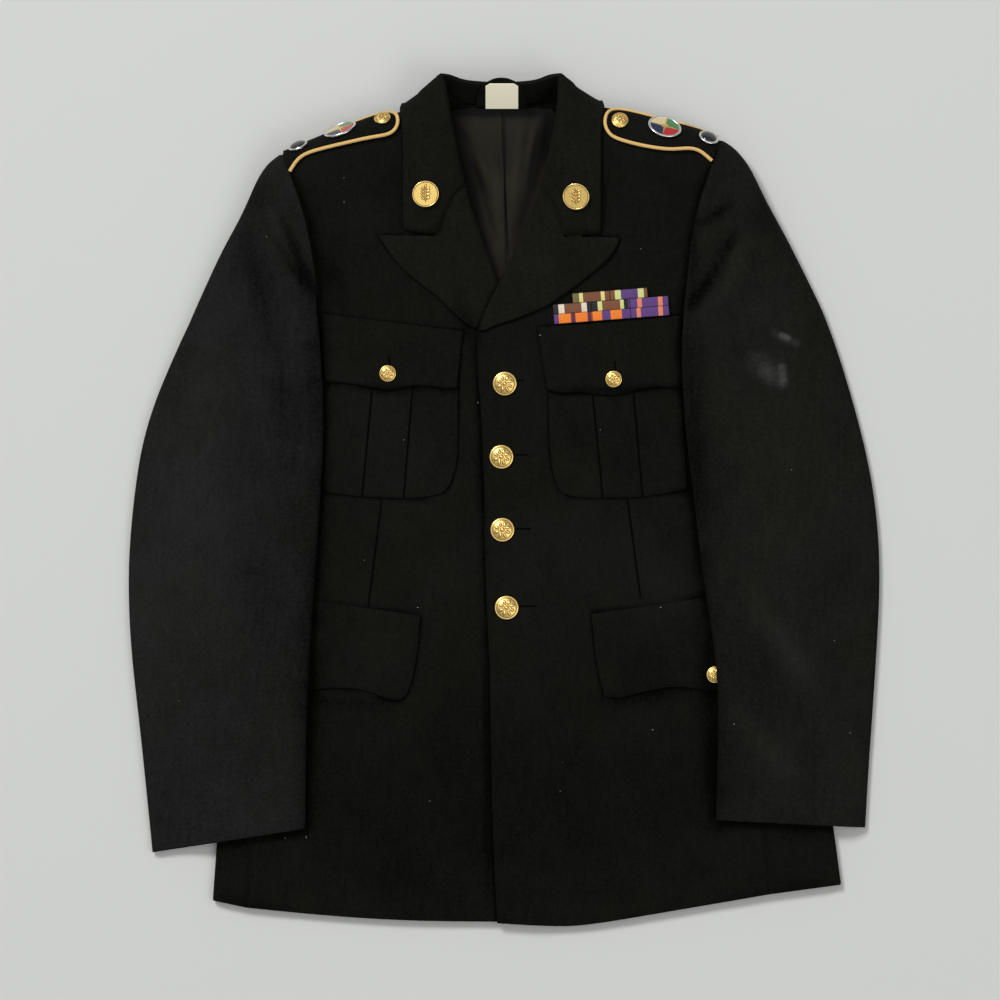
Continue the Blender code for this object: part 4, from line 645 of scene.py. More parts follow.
def even_seam(piece, x, y):
    """The points of one row take the mean height of the rows beside them."""
    mesh = bmesh.new()
    mesh.from_mesh(piece.data)
    row = [v for v in mesh.verts if math.hypot(v.co.x / MM - x, v.co.y / MM - y) < ROW_LENGTH
           and abs(v.co.y / MM - y) < ROW_WIDTH]
    rises = []
    for vertex in row:
        steps = [edge.other_vert(vertex).co - vertex.co for edge in vertex.link_edges]
        sides = [[step for step in steps if step.y * sign > NEXT_ROW * MM] for sign in (1, -1)]
        nearest = [min(side, key=lambda step: step.length).z for side in sides if side]
        rises.append(sum(nearest) / max(1, len(nearest)))
    for vertex, rise in zip(row, rises):
        vertex.co.z += rise
    mesh.to_mesh(piece.data)
    mesh.free()
    print(piece.name, "has", len(row), "points evened by up to", round(max(rises) / MM, 1), "mm")


print("seam tool ready")

# %% Dress the panels
SLEEVE_TURN = 12.0 * MM     # the folds of a sleeve fade below this height


def area_of(piece):
    """Area of one side of a wall of cloth, in square metres."""
    return sum(face.area for face in piece.data.polygons) / 2


def finish(piece, node, slot, *materials):
    """The piece stands for its node, with a finish."""
    if materials:
        piece.data.materials.clear()
        for material in materials:
            piece.data.materials.append(material)
    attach(piece, "root")
    if node:
        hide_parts(node)
    return piece


made = {}
for node, name, levels, material, folds, _ in PANELS:
    piece = copy_node(node, name)
    if name in SEAM_DIPS:
        even_seam(piece, *SEAM_DIPS[name])
    round_cloth(piece, levels)
    if folds:
        fold_cloth(piece, folds, SLEEVE_TURN if "sleeve" in name else None)
    store_tone_and_shade(piece, SLEEVE_TONE_AND_SHADE if "sleeve" in name else BODY_TONE_AND_SHADE)
    made[name] = finish(piece, node, "serge", material)
    print("%-20s %6d faces, %.4f square metres" % (name, len(piece.data.polygons), area_of(piece)))

# %% [markdown]
# ## Painted shade beside edges
# Cloth beside an edge that lies on it gets little light. The renderer makes some of this shade,
# but black on black swallows it, so the shade is painted: the piece's attribute is lowered near
# the covering pieces, and fades out within a few millimetres.

# %% Paint shade on the cloth beside edges
def tree_of(*pieces):
    """A tree of the pieces' faces, to find what lies nearest to a point or below it."""
    corners, faces = [], []
    for piece in pieces:
        start = len(corners)
        corners += [vertex.co.copy() for vertex in piece.data.vertices]
        faces += [[start + k for k in face.vertices] for face in piece.data.polygons]
    return BVHTree.FromPolygons(corners, faces)


def paint_shade_beside(pieces, covers, reach, strength):
    """Painted shade: darken these pieces within this many millimetres of the pieces that cover
    them.
    """
    tree = tree_of(*[made[name] for name in covers])
    for piece in [made[name] for name in pieces]:
        tone = piece.data.attributes["tone"]
        for vertex, value in zip(piece.data.vertices, tone.data):
            away = tree.find_nearest(vertex.co)[3]
            value.value -= strength * math.exp(-(away / (reach * MM)) ** 2)


for side in ("left_", "right_"):
    pocket, flap, hip_flap, lapel, front, panel, upper, under = [side + name for name in (
        "breast_pocket", "breast_flap", "hip_flap", "lapel", "front", "side_panel",
        "upper_sleeve", "under_sleeve")]
    paint_shade_beside([front], [pocket, lapel, "collar_fall", flap, hip_flap], 1.7, 0.50)
    paint_shade_beside([front, pocket, flap, hip_flap], [upper, under], 5.5, 0.35)
    paint_shade_beside([pocket], [flap], 1.8, 0.50)
    paint_shade_beside([lapel], ["collar_fall"], 2.0, 0.08)
    paint_shade_beside([panel], [under], 5.5, 0.35)
paint_shade_beside(["right_front"], ["left_front"], 2.4, 0.40)
paint_shade_beside(["right_lapel"], ["left_lapel"], 2.4, 0.35)
print("cloth beside edges darkened")

# %% [markdown]
# ## Darts and pleats
# A dart is a pinch of cloth sewn to a point, and a box pleat is folded and pressed at both
# sides. Both show as a fine groove. Three cuts of the Bisect tool give the cloth an edge along
# the line and one on each side, and the middle edge is then pressed in.

# %% Press the darts and pleats
GROOVE_DEPTH, GROOVE_WIDTH = 0.8 * MM, 1.1 * MM
CUT_REACH, CUT_EXTRA = 8 * MM, 3 * MM     # how far a cut goes beside the line and past its ends
ON_LINE = 0.05 * MM


def bisect_beside(piece, start, along, across, length, offset):
    """One cut, this far beside the line, through the faces near the line."""
    pick(piece)
    bpy.ops.object.mode_set(mode="EDIT")
    bpy.ops.mesh.select_mode(type="FACE")
    bpy.ops.mesh.select_all(action="DESELECT")
    mesh = bmesh.from_edit_mesh(piece.data)
    for face in mesh.faces:
        middle = face.calc_center_median() - start
        beside, ahead = abs(middle.dot(across)), middle.dot(along)
        face.select_set(beside < CUT_REACH and -CUT_EXTRA < ahead < length + CUT_EXTRA)
    bmesh.update_edit_mesh(piece.data)
    bpy.ops.mesh.bisect(plane_co=start + across * offset, plane_no=across)
    bpy.ops.object.mode_set(mode="OBJECT")


def press_line(piece, line):
    """A groove along the line from one point to another, in millimetres. Its ends run out."""
    start, end = Vector((line[0] * MM, line[1] * MM, 0)), Vector((line[2] * MM, line[3] * MM, 0))
    length = (end - start).length
    along = (end - start).normalized()
    across = Vector((-along.y, along.x, 0))
    for offset in (-GROOVE_WIDTH, 0.0, GROOVE_WIDTH):
        bisect_beside(piece, start, along, across, length, offset)
    for vertex in piece.data.vertices:
        place = vertex.co - start
        if abs(place.dot(across)) < ON_LINE and 0 <= place.dot(along) <= length:
            share = place.dot(along) / length
            vertex.co.z -= GROOVE_DEPTH * min(1.0, 0.35 + share * 4, 0.35 + (1 - share) * 4)
    piece.data.update()


for name, line in (("right_front", DARTS[0]), ("left_front", DARTS[1]),
                   ("right_breast_pocket", PLEATS[0]), ("right_breast_pocket", PLEATS[1]),
                   ("left_breast_pocket", PLEATS[2]), ("left_breast_pocket", PLEATS[3])):
    press_line(made[name], line)
    print(name, "has a line from", line[:2], "to", line[2:])

# %% [markdown]
# ## Closed seams
# Two pieces sewn edge to edge leave a hair of a gap between the solids. On the real tunic the
# seam is closed, so a thin cord of the same cloth fills each gap just below the surface. Its
# line is found from the points of one piece that lie nearest to the other.

# %% A cord in a seam
def cord_along(name, points, radius):
    """A thin round cord through these points."""
    mesh = bpy.data.meshes.new(name)
    mesh.from_pydata([tuple(point) for point in points],
                     [(k, k + 1) for k in range(len(points) - 1)], [])
    cord = bpy.data.objects.new(name, mesh)
    bpy.context.scene.collection.objects.link(cord)
    pick(cord)
    bpy.ops.object.convert(target="CURVE")
    cord.data.bevel_depth = radius
    cord.data.bevel_resolution = 1
    cord.data.use_fill_caps = True
    bpy.ops.object.convert(target="MESH")
    return cord


def fill_seam(piece, other, name, material, sunk, radius, spacing, reach):
    """A cord in the gap between the upper edges of two pieces, sunk a little below them."""
    tree = tree_of(made[other])
    found = []
    for vertex in made[piece].data.vertices:
        place, _, _, away = tree.find_nearest(vertex.co)
        if away is not None and away < reach * MM:
            found.append(tuple((vertex.co + place) / 2))
    found = np.array(found)
    middle = found.mean(axis=0)
    main = np.linalg.svd(found - middle, full_matrices=False)[2][0]
    run = (found - middle) @ main
    line = []
    for stop in np.arange(run.min(), run.max(), spacing * MM):
        near = found[np.abs(run - stop) < spacing * 0.5 * MM]
        if len(near):
            line.append(near[near[:, 2].argmax()] - np.array([0, 0, sunk * MM]))
    made[name] = finish(cord_along(name, line, radius * MM), None, "serge", material)
    print("%-18s %3d points" % (name, len(line)))


print("seam cords ready")

# %% Fill the seams
SEAMS = (
    # piece, other piece, name, material, then depth, radius, spacing and reach in millimetres
    ("lapel", "collar_fall", "gorge_seam", lapel_serge, 1.2, 1.15, 3.0, 2.9),
    ("front", "side_panel", "side_seam", serge, 0.55, 0.5, 5.0, 1.0),
    ("front", "upper_sleeve", "armhole_seam", serge, 0.8, 0.6, 4.0, 1.3),
    ("strap", "upper_sleeve", "strap_seam", serge, 1.0, 0.8, 2.0, 2.5),
)
for side in ("left_", "right_"):
    for piece, other, name, material, *sizes in SEAMS:
        other = other if other in made else side + other
        fill_seam(side + piece, other, side + name, material, *sizes)

# %% [markdown]
# ## Lining, patch and label
# The satin lining shows in the neck. It is cut with a pleat down its middle, so that the back
# can stretch, and it lies in long soft folds. Satin is smoother than wool and shines a little.

# %% Folds and painted shade of the lining
LINING_FOLDS = (
    (-1.1, 368, -0.1, 316, 1.4, -1.1),
    (-0.1, 316, 5.6, 232, 1.4, -1.1),
    (-3.6, 366, 2, 240, 2.6, 0.8),
    (-25, 360, -14, 270, 6, 1.1),
    (-36, 350, -22, 290, 4, -0.9),
    (-14, 355, -8, 260, 4, -0.7),
    (16, 362, 10, 262, 5, 1),
    (27, 365, 18, 290, 4, -0.9),
    (37, 362, 27, 300, 4, 1),
    (-30, 330, -10, 300, 5, 0.7),
    (30, 332, 12, 300, 5, -0.6),
)
# Painted shade and light: dark under the collar, beside the lapels and along the pleat and fold
# valleys, lighter on fold ridges.
LINING_PAINTED_SHADE = (
    (-54, 372, -12, 222, 7, -0.60),
    (44, 368.9, 9, 237.8, 6, -0.50),
    (-60, 370, 52, 370, 6, -1.4),
    (-52, 360, -48, 320, 5, -0.8),
    (46, 360, 42, 320, 5, -0.8),
    (-44, 356, -22, 322, 3, -0.35),
    (-36, 330, -14, 286, 3, -0.25),
    (-34, 345, -14, 305, 3, 0.3),
    (-22, 300, -8, 250, 3, -0.35),
    (34, 356, 22, 300, 2.5, -0.5),
    (28, 356, 18, 312, 2.5, 0.25),
    (-17.2, 351.9, -6.8, 271.1, 5, 0.2),
    (15.1, 351.9, 7.4, 285.4, 4, 0.15),
    (-0.1, 368.9, 1.8, 223.6, 1.1, -0.7),
)
print("lining:", len(LINING_FOLDS), "folds,", len(LINING_PAINTED_SHADE), "strokes")

# %% Lining
def satin(name, colour):
    """Smooth lining cloth: fine ribs, a soft shine, and painted shade and light along its folds and
    edges.
    """
    paint = Paint(name, colour, 0.46, Specular_IOR_Level=0.08, Sheen_Weight=0.01,
                  Sheen_Roughness=0.4)
    x, y, _ = paint.axes()
    thread = ((x + y * 0.06) * 9000.0).math("SINE") * 0.5 + 0.5
    drift = paint.noise(26.0, 3.0, 0.55)
    shade = (drift * 0.8 + thread * 0.2 + paint.tone()).limited()
    paint.colour(paint.mix(shade, scaled(colour, 0.06), scaled(colour, 1.6)))
    paint.roughness(0.45 + drift * 0.2)
    paint.bump(thread * 0.4 + paint.noise(900.0) * 0.6, 0.00012, 0.4)
    return paint.material


lining = round_cloth(copy_node("back_lining", "neck_lining"), 3)
fold_cloth(lining, LINING_FOLDS)
store_tone_and_shade(lining, LINING_PAINTED_SHADE)
made["neck_lining"] = finish(lining, "back_lining", "lining",
                             satin("satin", (0.0150, 0.0132, 0.0080)))
print("lining:", len(lining.data.polygons), "faces")

# %% Patch and label
def woven(name, colour, rough=0.8, shine=0.2, glow=0.0):
    """Tape or thread in a fine plain weave. A little glow keeps pale tape bright in shade."""
    paint = Paint(name, colour, rough, Specular_IOR_Level=shine, Emission_Strength=glow,
                  Emission_Color=(*colour, 1.0))
    x, y, _ = paint.axes()
    weave = (x * 6000.0).math("SINE") * (y * 6000.0).math("SINE") * 0.5 + 0.5
    paint.colour(paint.mix(weave * 0.5 + paint.noise(60.0) * 0.5, scaled(colour, 0.86), colour))
    paint.bump(weave, 0.0001, 0.5)
    return paint.material


def soften(piece, width, segments):
    """Round its edges with the Bevel modifier."""
    pick(piece)
    bevel = piece.modifiers.new("soft_edge", "BEVEL")
    bevel.width = width
    bevel.segments = segments
    apply_modifiers(piece)
    return piece


patch = round_cloth(copy_node("neck_patch", "hanging_patch"), 2)
made["hanging_patch"] = finish(patch, "neck_patch", "patch", lapel_serge)
label = soften(copy_node("label", "bare_label"), 0.15 * MM, 2)
made["bare_label"] = finish(label, "label", "label",
                            woven("label_tape", (0.98, 0.92, 0.69), glow=0.20))
print("label and patch dressed")

# %% [markdown]
# ## Round metal pieces
# Buttons, discs, badges and studs all lie flat on the cloth below them, tilted with it. Each is
# modelled once around the origin with a radius of 1, then each copy is laid in its solid's place.
# Fitting a plane to the solid's points gives that place: the thinnest direction points up.

# %% Where a round solid lies
def seat_of(node):
    """A matrix that lays a model of radius 1 and height 1 in the place of a round solid."""
    points = points_of(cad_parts[node])
    middle = points.mean(axis=0)
    _, spread, axes = np.linalg.svd(points - middle, full_matrices=False)
    up = axes[2] if axes[2][2] > 0 else -axes[2]
    along = axes[0] if axes[0][0] > 0 else -axes[0]
    if spread[0] < spread[1] * 1.05:     # as good as round, so it is turned to face the hem
        along = np.array((1.0, 0, 0)) - up * up[0]
        along /= np.linalg.norm(along)
    across = np.cross(up, along)
    reach = (points - middle) @ np.array([along, across, up]).T
    size = (reach.max(axis=0) - reach.min(axis=0)) / 2
    seat = np.eye(4)
    seat[:3] = np.column_stack([along * size[0], across * size[1], up * size[2] * 2,
                                middle + up * reach[:, 2].min()])
    return Matrix(seat.tolist())


def lay_copy(model, node, name, slot):
    """A copy of the model with its own mesh, in the place of the node."""
    piece = model.copy()
    piece.data = model.data.copy()
    piece.name = name
    bpy.context.scene.collection.objects.link(piece)
    piece.data.transform(seat_of(node))
    piece.data.shade_smooth()
    pick(piece)
    bpy.ops.object.shade_smooth_by_angle(angle=math.radians(40))
    made[name] = finish(piece, node, slot)


print("seats ready")

# %% [markdown]
# ## Shapes for the die
# A stamped piece is built from a few round shapes: domes, rims, plates and flattened balls. Each
# starts as a primitive that is cut or squeezed, gets its metal, and is joined with the others.

# %% Domes, rims, plates and balls
def settle(shape, material):
    """Its place, turn and size go into its mesh."""
    bpy.ops.object.transform_apply(location=True, rotation=True, scale=True)
    shape.data.materials.append(material)
    return shape


def join(name, *pieces):
    pick(*pieces)
    bpy.ops.object.join()
    bpy.context.object.name = name
    return bpy.context.object


def ball(material, size, place, turn=0.0, tip=0.0, segments=12, rings=8):
    """A ball flattened to this size, tipped and turned."""
    bpy.ops.mesh.primitive_uv_sphere_add(segments=segments, ring_count=rings, radius=1)
    shape = bpy.context.object
    shape.scale = size
    shape.rotation_euler = (0, tip, turn)
    shape.location = place
    return settle(shape, material)


def dome(material, height, base=0.0, radius=1.0, parts=40):
    """The upper part of a flattened ball, closed below."""
    bpy.ops.mesh.primitive_uv_sphere_add(segments=parts, ring_count=parts // 2, radius=radius)
    shape = bpy.context.object
    bpy.ops.object.mode_set(mode="EDIT")
    bpy.ops.mesh.select_all(action="SELECT")
    bpy.ops.mesh.bisect(plane_co=(0, 0, 0.001), plane_no=(0, 0, 1), clear_inner=True, use_fill=True)
    bpy.ops.object.mode_set(mode="OBJECT")
    shape.scale = (1, 1, height / radius)
    shape.location = (0, 0, base)
    return settle(shape, material)


def ring(material, radius, thickness, height, parts=48, flat=1.0):
    """A round rim. flat stretches it upwards."""
    bpy.ops.mesh.primitive_torus_add(major_radius=radius, minor_radius=thickness,
                                     major_segments=parts, minor_segments=10,
                                     location=(0, 0, height))
    shape = bpy.context.object
    shape.scale = (1, 1, flat)
    return settle(shape, material)


def plate(material, radius, height, parts=64):
    """A flat round plate that stands on the cloth."""
    bpy.ops.mesh.primitive_cylinder_add(vertices=parts, radius=radius, depth=height,
                                        location=(0, 0, height / 2))
    return settle(bpy.context.object, material)


print("shapes ready")

# %% [markdown]
# ## Gold buttons
# The real ones are stamped from thin gilt brass and domed, with raised work and a rolled rim.
# Here a plain rosette takes the place of the raised work: eight petals, a ring and a boss.

# %% Metals
def metal(name, colour, rough, worn=0.12):
    """Polished metal. Its polish drifts and fine dents catch the light."""
    paint = Paint(name, colour, rough, 1.0)
    drift = paint.noise(300.0, 3.0)
    paint.colour(paint.mix(drift, scaled(colour, 1 - worn), colour))
    paint.roughness(rough - 0.06 + drift * 0.14)
    paint.bump(paint.noise(1500.0, 2.0), 0.00006, 0.15)
    return paint.material


gold = metal("gold", (0.97, 0.68, 0.26), 0.28)
# This darker gold is painted shade: the lines round the relief of the buttons and discs.
shaded_gold = metal("shaded_gold", (0.36, 0.19, 0.05), 0.5)
satin_gold = metal("satin_gold", (1.0, 0.72, 0.22), 0.38)
silver = metal("silver", (0.78, 0.78, 0.76), 0.24)
print("metals:", [material.name for material in (gold, shaded_gold, satin_gold, silver)])

# %% Model the button
PETALS, PETAL_PLACE, PETAL_TIP = 8, 0.48, 0.42


def make_button():
    """A domed face with petals, each on a wider one in darker gold that shows round it as a line of
    painted shade.
    """
    parts = [dome(satin_gold, 0.80, 0.05), ring(gold, 0.91, 0.09, 0.24, flat=1.8),
             ring(shaded_gold, 0.79, 0.035, 0.53, flat=1.6)]
    for k in range(PETALS):
        turn = math.tau * (k + 0.5) / PETALS
        x, y = PETAL_PLACE * math.cos(turn), PETAL_PLACE * math.sin(turn)
        parts.append(ball(shaded_gold, (0.26, 0.155, 0.09), (x, y, 0.725), turn, PETAL_TIP))
        parts.append(ball(gold, (0.215, 0.110, 0.13), (x, y, 0.730), turn, PETAL_TIP))
    parts += [ring(shaded_gold, 0.17, 0.035, 0.86), dome(gold, 0.13, 0.84, 0.13, 16)]
    return join("button_model", *parts)


button_model = make_button()
BUTTONS = ["front_button_%d" % k for k in (1, 2, 3, 4)] + [
    kind + "_button_" + side for kind in ("breast", "hip", "strap") for side in ("left", "right")]
for node in BUTTONS:
    lay_copy(button_model, node, "gilt_" + node, "gold")
bpy.data.objects.remove(button_model)
print(len(BUTTONS), "buttons of", len(made["gilt_front_button_1"].data.polygons), "faces")

# %% [markdown]
# ## Collar discs
# A disc is struck from sheet: a raised rim, a field that is left dull, and a device in relief.
# A plain leaf sprig stands for the device: a stem with pairs of leaves, all small flattened balls.

# %% Model the disc
STEM = (((0.04, 0.56), (0.0, -0.06), 0), ((0.07, 0.16), (0.0, 0.58), 0))
LEAF_PAIRS = ((-0.30, 0.17), (-0.04, 0.20), (0.22, 0.17), (0.42, 0.13))     # place, length
OUTLINE = 0.035


def make_disc():
    """Each leaf has a wider one in darker gold under it: painted shade for the sunk outline the die
    leaves.
    """
    parts = [plate(satin_gold, 0.97, 0.62), ring(gold, 0.95, 0.05, 0.62, 64, 4.5),
             ring(shaded_gold, 0.885, 0.02, 0.62, 64, 1.5)]
    leaves = list(STEM) + [((size, 0.07), (side * 0.20, y), side * math.radians(42))
                           for y, size in LEAF_PAIRS for side in (1, -1)]
    for (long, wide), (x, y), turn in leaves:
        parts.append(ball(shaded_gold, (long + OUTLINE, wide + OUTLINE, 0.12), (x, y, 0.62), turn,
                          segments=14))
        parts.append(ball(gold, (long, wide, 0.26), (x, y, 0.66), turn, segments=14))
    return join("disc_model", *parts)


disc_model = make_disc()
for side in ("left", "right"):
    lay_copy(disc_model, "collar_disc_" + side, "gilt_disc_" + side, "gold")
bpy.data.objects.remove(disc_model)
print("discs of", len(made["gilt_disc_left"].data.polygons), "faces")

# %% [markdown]
# ## Enamel badges and studs
# The badge is an oval of coloured enamel fired inside a silver rim, and the stud a black dome in
# the same rim. The enamel is quartered in four plain colours, parted by thin gilt bars.

# %% Enamels
def enamel(name, colour):
    """Glass-smooth colour with a little unevenness below the gloss."""
    paint = Paint(name, colour, 0.16, Specular_IOR_Level=0.5, Coat_Weight=0.6, Coat_Roughness=0.06)
    paint.colour(paint.mix(paint.noise(240.0), scaled(colour, 0.8), colour))
    return paint.material


ENAMELS = [enamel("enamel_" + name, colour) for name, colour in (
    ("navy", (0.012, 0.018, 0.060)), ("red", (0.440, 0.018, 0.016)),
    ("cream", (0.640, 0.520, 0.280)), ("green", (0.050, 0.200, 0.060)))]
black_enamel = enamel("black_enamel", (0.006, 0.006, 0.007))
print("enamels:", len(ENAMELS) + 1)

# %% Model the badge and the stud
ENAMEL_EDGE = 0.52     # the enamel starts above this height


def make_badge():
    face = dome(silver, 0.42, 0.50, 0.92, 48)
    for material in ENAMELS:
        face.data.materials.append(material)
    for part in face.data.polygons:
        x, y, z = part.center
        part.material_index = 1 + int(x > 0) + 2 * int(y > 0) if z > ENAMEL_EDGE else 0
    bars = [ball(gold, size, (0, 0, 0.50), segments=24, rings=12)
            for size in ((0.91, 0.15, 0.455), (0.11, 0.91, 0.455))]
    return join("badge_model", face, ring(silver, 0.93, 0.07, 0.58, 64, 4.0),
                plate(silver, 0.95, 0.60), dome(gold, 0.16, 0.88, 0.22, 16), *bars)


def make_stud():
    return join("stud_model", dome(black_enamel, 0.72, 0.28, 0.80, 32),
                ring(silver, 0.88, 0.12, 0.26, 48, 2.0), plate(silver, 0.92, 0.28, 48))


for model, node, slot in ((make_badge(), "strap_badge_", "enamel"),
                          (make_stud(), "strap_stud_", "black_metal")):
    for side in ("left", "right"):
        lay_copy(model, node + side, node + side + "_dressed", slot)
    bpy.data.objects.remove(model)
print("badges and studs laid")

# %% [markdown]
# ## Gold piping
# The straps are edged with a round twisted cord that is sewn in. The solid tube already follows
# the strap, so it is only rounded, and a slanting wave in the paint makes its twist.

# %% Piping
def braid(name, colour):
    paint = Paint(name, colour, 0.55, Specular_IOR_Level=0.4, Sheen_Weight=0.2)
    x, y, z = paint.axes()
    twist = ((x + y * 1.6 + z * 1.2) * 3600.0).math("SINE") * 0.5 + 0.5
    paint.colour(paint.mix(twist * 0.75 + paint.noise(500.0) * 0.25, scaled(colour, 0.55), colour))
    paint.bump(twist, 0.0003, 0.8)
    return paint.material


old_gold = braid("old_gold_braid", (0.92, 0.58, 0.19))
for side in ("left", "right"):
    cord = round_cloth(copy_node("piping_" + side, side + "_piping"), 2)
    made[cord.name] = finish(cord, "piping_" + side, "braid", old_gold)
    print(cord.name, len(cord.data.polygons), "faces")

# %% [markdown]
# ## Ribbon bars
# Medal ribbons are silk, ribbed across, and folded over small brass bars that sit in rows. Each
# bar is a box with rounded edges. Its stripes are a colour ramp with hard steps along the row.

# %% Where the rack lies
RACK_TILT = math.radians(4.6)
rack_points = points_of(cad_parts["ribbon_rack"])
rack_up = np.linalg.svd(rack_points - rack_points.mean(axis=0), full_matrices=False)[2][2]
rack_up = rack_up if rack_up[2] > 0 else -rack_up
rack_along = np.array((math.cos(RACK_TILT), math.sin(RACK_TILT), 0.0))
rack_along -= rack_up * rack_along.dot(rack_up)
rack_along /= np.linalg.norm(rack_along)
rack_across = np.cross(rack_up, rack_along)
reach = rack_points @ np.array([rack_along, rack_across, rack_up]).T
low, high = reach.min(axis=0), reach.max(axis=0)
rack_middle = (rack_along * (low[0] + high[0]) / 2 + rack_across * (low[1] + high[1]) / 2
               + rack_up * low[2])
rack_depth = high[2] - low[2]
print("rack:", [round(c / MM, 1) for c in (high - low)], "mm")

# %% Stripes
PURPLE, MAROON, ORANGE = (0.115, 0.045, 0.205), (0.115, 0.022, 0.060), (0.95, 0.23, 0.020)
SALMON, BROWN, BLACK = (0.85, 0.250, 0.120), (0.210, 0.075, 0.030), (0.012, 0.012, 0.012)
LIME, CREAM, OLIVE = (0.720, 0.740, 0.270), (0.860, 0.740, 0.580), (0.180, 0.150, 0.050)
YELLOW = (0.820, 0.740, 0.260)
ROWS = (
    # each stripe's width in millimetres and its colour, from the middle of the chest outwards
    ((4.56, PURPLE), (11.30, ORANGE), (4.38, MAROON), (11.67, ORANGE), (3.65, MAROON),
     (10.03, ORANGE), (8.21, PURPLE), (10.39, ORANGE), (14.22, PURPLE), (4.01, SALMON),
     (16.41, PURPLE), (4.19, SALMON), (6.38, PURPLE)),
    ((5.12, BLACK), (5.49, CREAM), (15.92, BROWN), (5.12, CREAM), (10.61, BLACK), (4.02, LIME),
     (17.01, BROWN), (3.48, LIME), (4.21, BLACK), (8.60, PURPLE), (4.21, SALMON),
     (15.55, PURPLE), (4.21, SALMON), (5.85, PURPLE)),
    ((6.36, OLIVE), (3.45, YELLOW), (16.89, BROWN), (3.63, YELLOW), (9.99, BROWN), (5.45, LIME),
     (15.98, PURPLE), (5.81, LIME), (3.63, BROWN)),
)


def ribbon(name, stripes):
    """Ribbed silk with stripes that step from colour to colour along the row."""
    paint = Paint(name, stripes[0][1], 0.6, Specular_IOR_Level=0.3, Sheen_Weight=0.15)
    x, y, z = paint.axes()
    total = sum(width for width, _ in stripes)
    along = (x * rack_along[0] + y * rack_along[1] + z * rack_along[2]
             - float(rack_middle.dot(rack_along)))
    across = x * rack_across[0] + y * rack_across[1] + z * rack_across[2]
    starts = np.cumsum([0.0] + [width for width, _ in stripes[:-1]]) / total
    stops = [(float(start), colour) for start, (_, colour) in zip(starts, stripes)]
    stripe = paint.add("ShaderNodeValToRGB", {"stops": stops, "steps": "CONSTANT"},
                       along / (total * MM) + 0.5)
    rib = (across * 9000.0).math("SINE") * 0.5 + 0.5
    shade = paint.mix(rib, (0.72, 0.72, 0.72), (1.0, 1.0, 1.0))
    paint.colour(paint.mix(1.0, stripe, shade, "MULTIPLY"))
    paint.bump(rib, 0.0002, 0.6)
    return paint.material


print("stripes:", [len(row) for row in ROWS])

# %% Bars
ROW_HEIGHT, BAR_WIDTH, BAR_GAP = 9.2, 36.0, 0.35

bars = []
for row, stripes in enumerate(ROWS):
    silk = ribbon("ribbon_row_%d" % (row + 1), stripes)
    length = sum(width for width, _ in stripes)
    count = round(length / BAR_WIDTH)
    width = length / count
    for k in range(count):
        bpy.ops.mesh.primitive_cube_add(size=1)
        bar = bpy.context.object
        bar.scale = ((width - BAR_GAP) * MM, (ROW_HEIGHT - BAR_GAP) * MM, rack_depth)
        bar.location = (((k + 0.5) * width - length / 2) * MM, (row - 1) * ROW_HEIGHT * MM,
                        rack_depth / 2)
        bars.append(settle(bar, silk))
ribbon_bars = soften(join("ribbon_bars", *bars), 0.7 * MM, 3)
seat = np.eye(4)
seat[:3] = np.column_stack([rack_along, rack_across, rack_up, rack_middle])
ribbon_bars.data.transform(Matrix(seat.tolist()))
pick(ribbon_bars)
bpy.ops.object.shade_smooth_by_angle(angle=math.radians(40))
made["ribbon_bars"] = finish(ribbon_bars, "ribbon_rack", "ribbon")
print("ribbon bars:", len(bars))

# %% [markdown]
# ## Buttonholes
# A tailor cuts a slit and works its edge with close stitches. The raised edge is a circle pulled
# long into a loop and thickened to a cord, and the slit is a near-black sliver inside it, painted
# shade for the depth of the cut.

# %% Lay things on the cloth
ABOVE_ALL = 0.2


def lay_on(piece, cloth):
    """Each point goes up by the height of the cloth below it."""
    for vertex in piece.data.vertices:
        above = Vector((vertex.co.x, vertex.co.y, ABOVE_ALL))
        place = cloth.ray_cast(above, Vector((0, 0, -1)))[0]
        if place:
            vertex.co.z += place.z
    piece.data.update()


cloth = tree_of(*[made[row[1]] for row in PANELS])
print("cloth to lay on is ready")

# %% Buttonholes
BUTTONHOLES = (
    # open end x, y, length and direction in degrees
    (17.9, 113.4, 24, 180), (22.7, 43.1, 26, 180), (25.0, -26.9, 26, 180),
    (30.2, -100.0, 26, 180), (-108.5, 136.2, 15, -90), (104.8, 131.4, 15, -90),
)
STITCH, SLIT = 0.65 * MM, 0.55 * MM     # half the width of the stitched edge, and of the slit
thread = woven("black_thread", (0.0045, 0.0046, 0.0036), 0.95, 0.0)
# The slit's near-black is painted shade for the depth of the cut.
slit_shade = Paint("slit_shade", SHADE_BLACK, 0.95, Specular_IOR_Level=0.0).material


def stretched_circle(length, radius, fill):
    """A circle pulled out into a long loop from x = 0 to this length."""
    bpy.ops.mesh.primitive_circle_add(vertices=32, radius=radius, fill_type=fill)
    loop = bpy.context.object
    for vertex in loop.data.vertices:
        vertex.co.x += length - radius if vertex.co.x > 0 else radius
    pick(loop)
    return loop


def make_buttonhole(length):
    """A stitched edge, the slit inside it as a sliver of painted shade, and a bar of thread across
    its open end.
    """
    edge = stretched_circle(length, STITCH, "NOTHING")
    bpy.ops.object.convert(target="CURVE")
    edge.data.bevel_depth = 0.28 * MM
    edge.data.bevel_resolution = 2
    bpy.ops.object.convert(target="MESH")
    edge.data.materials.append(thread)
    shaded_slit = stretched_circle(length, SLIT, "NGON")
    bpy.ops.object.mode_set(mode="EDIT")
    bpy.ops.mesh.select_all(action="SELECT")
    bpy.ops.mesh.extrude_region_move(TRANSFORM_OT_translate={"value": (0, 0, 0.15 * MM)})
    bpy.ops.object.mode_set(mode="OBJECT")
    shaded_slit.data.materials.append(slit_shade)
    tack = ball(thread, (0.5 * MM, 1.6 * MM, 0.4 * MM), (0, 0, 0))
    return join("hole", edge, shaded_slit, tack)


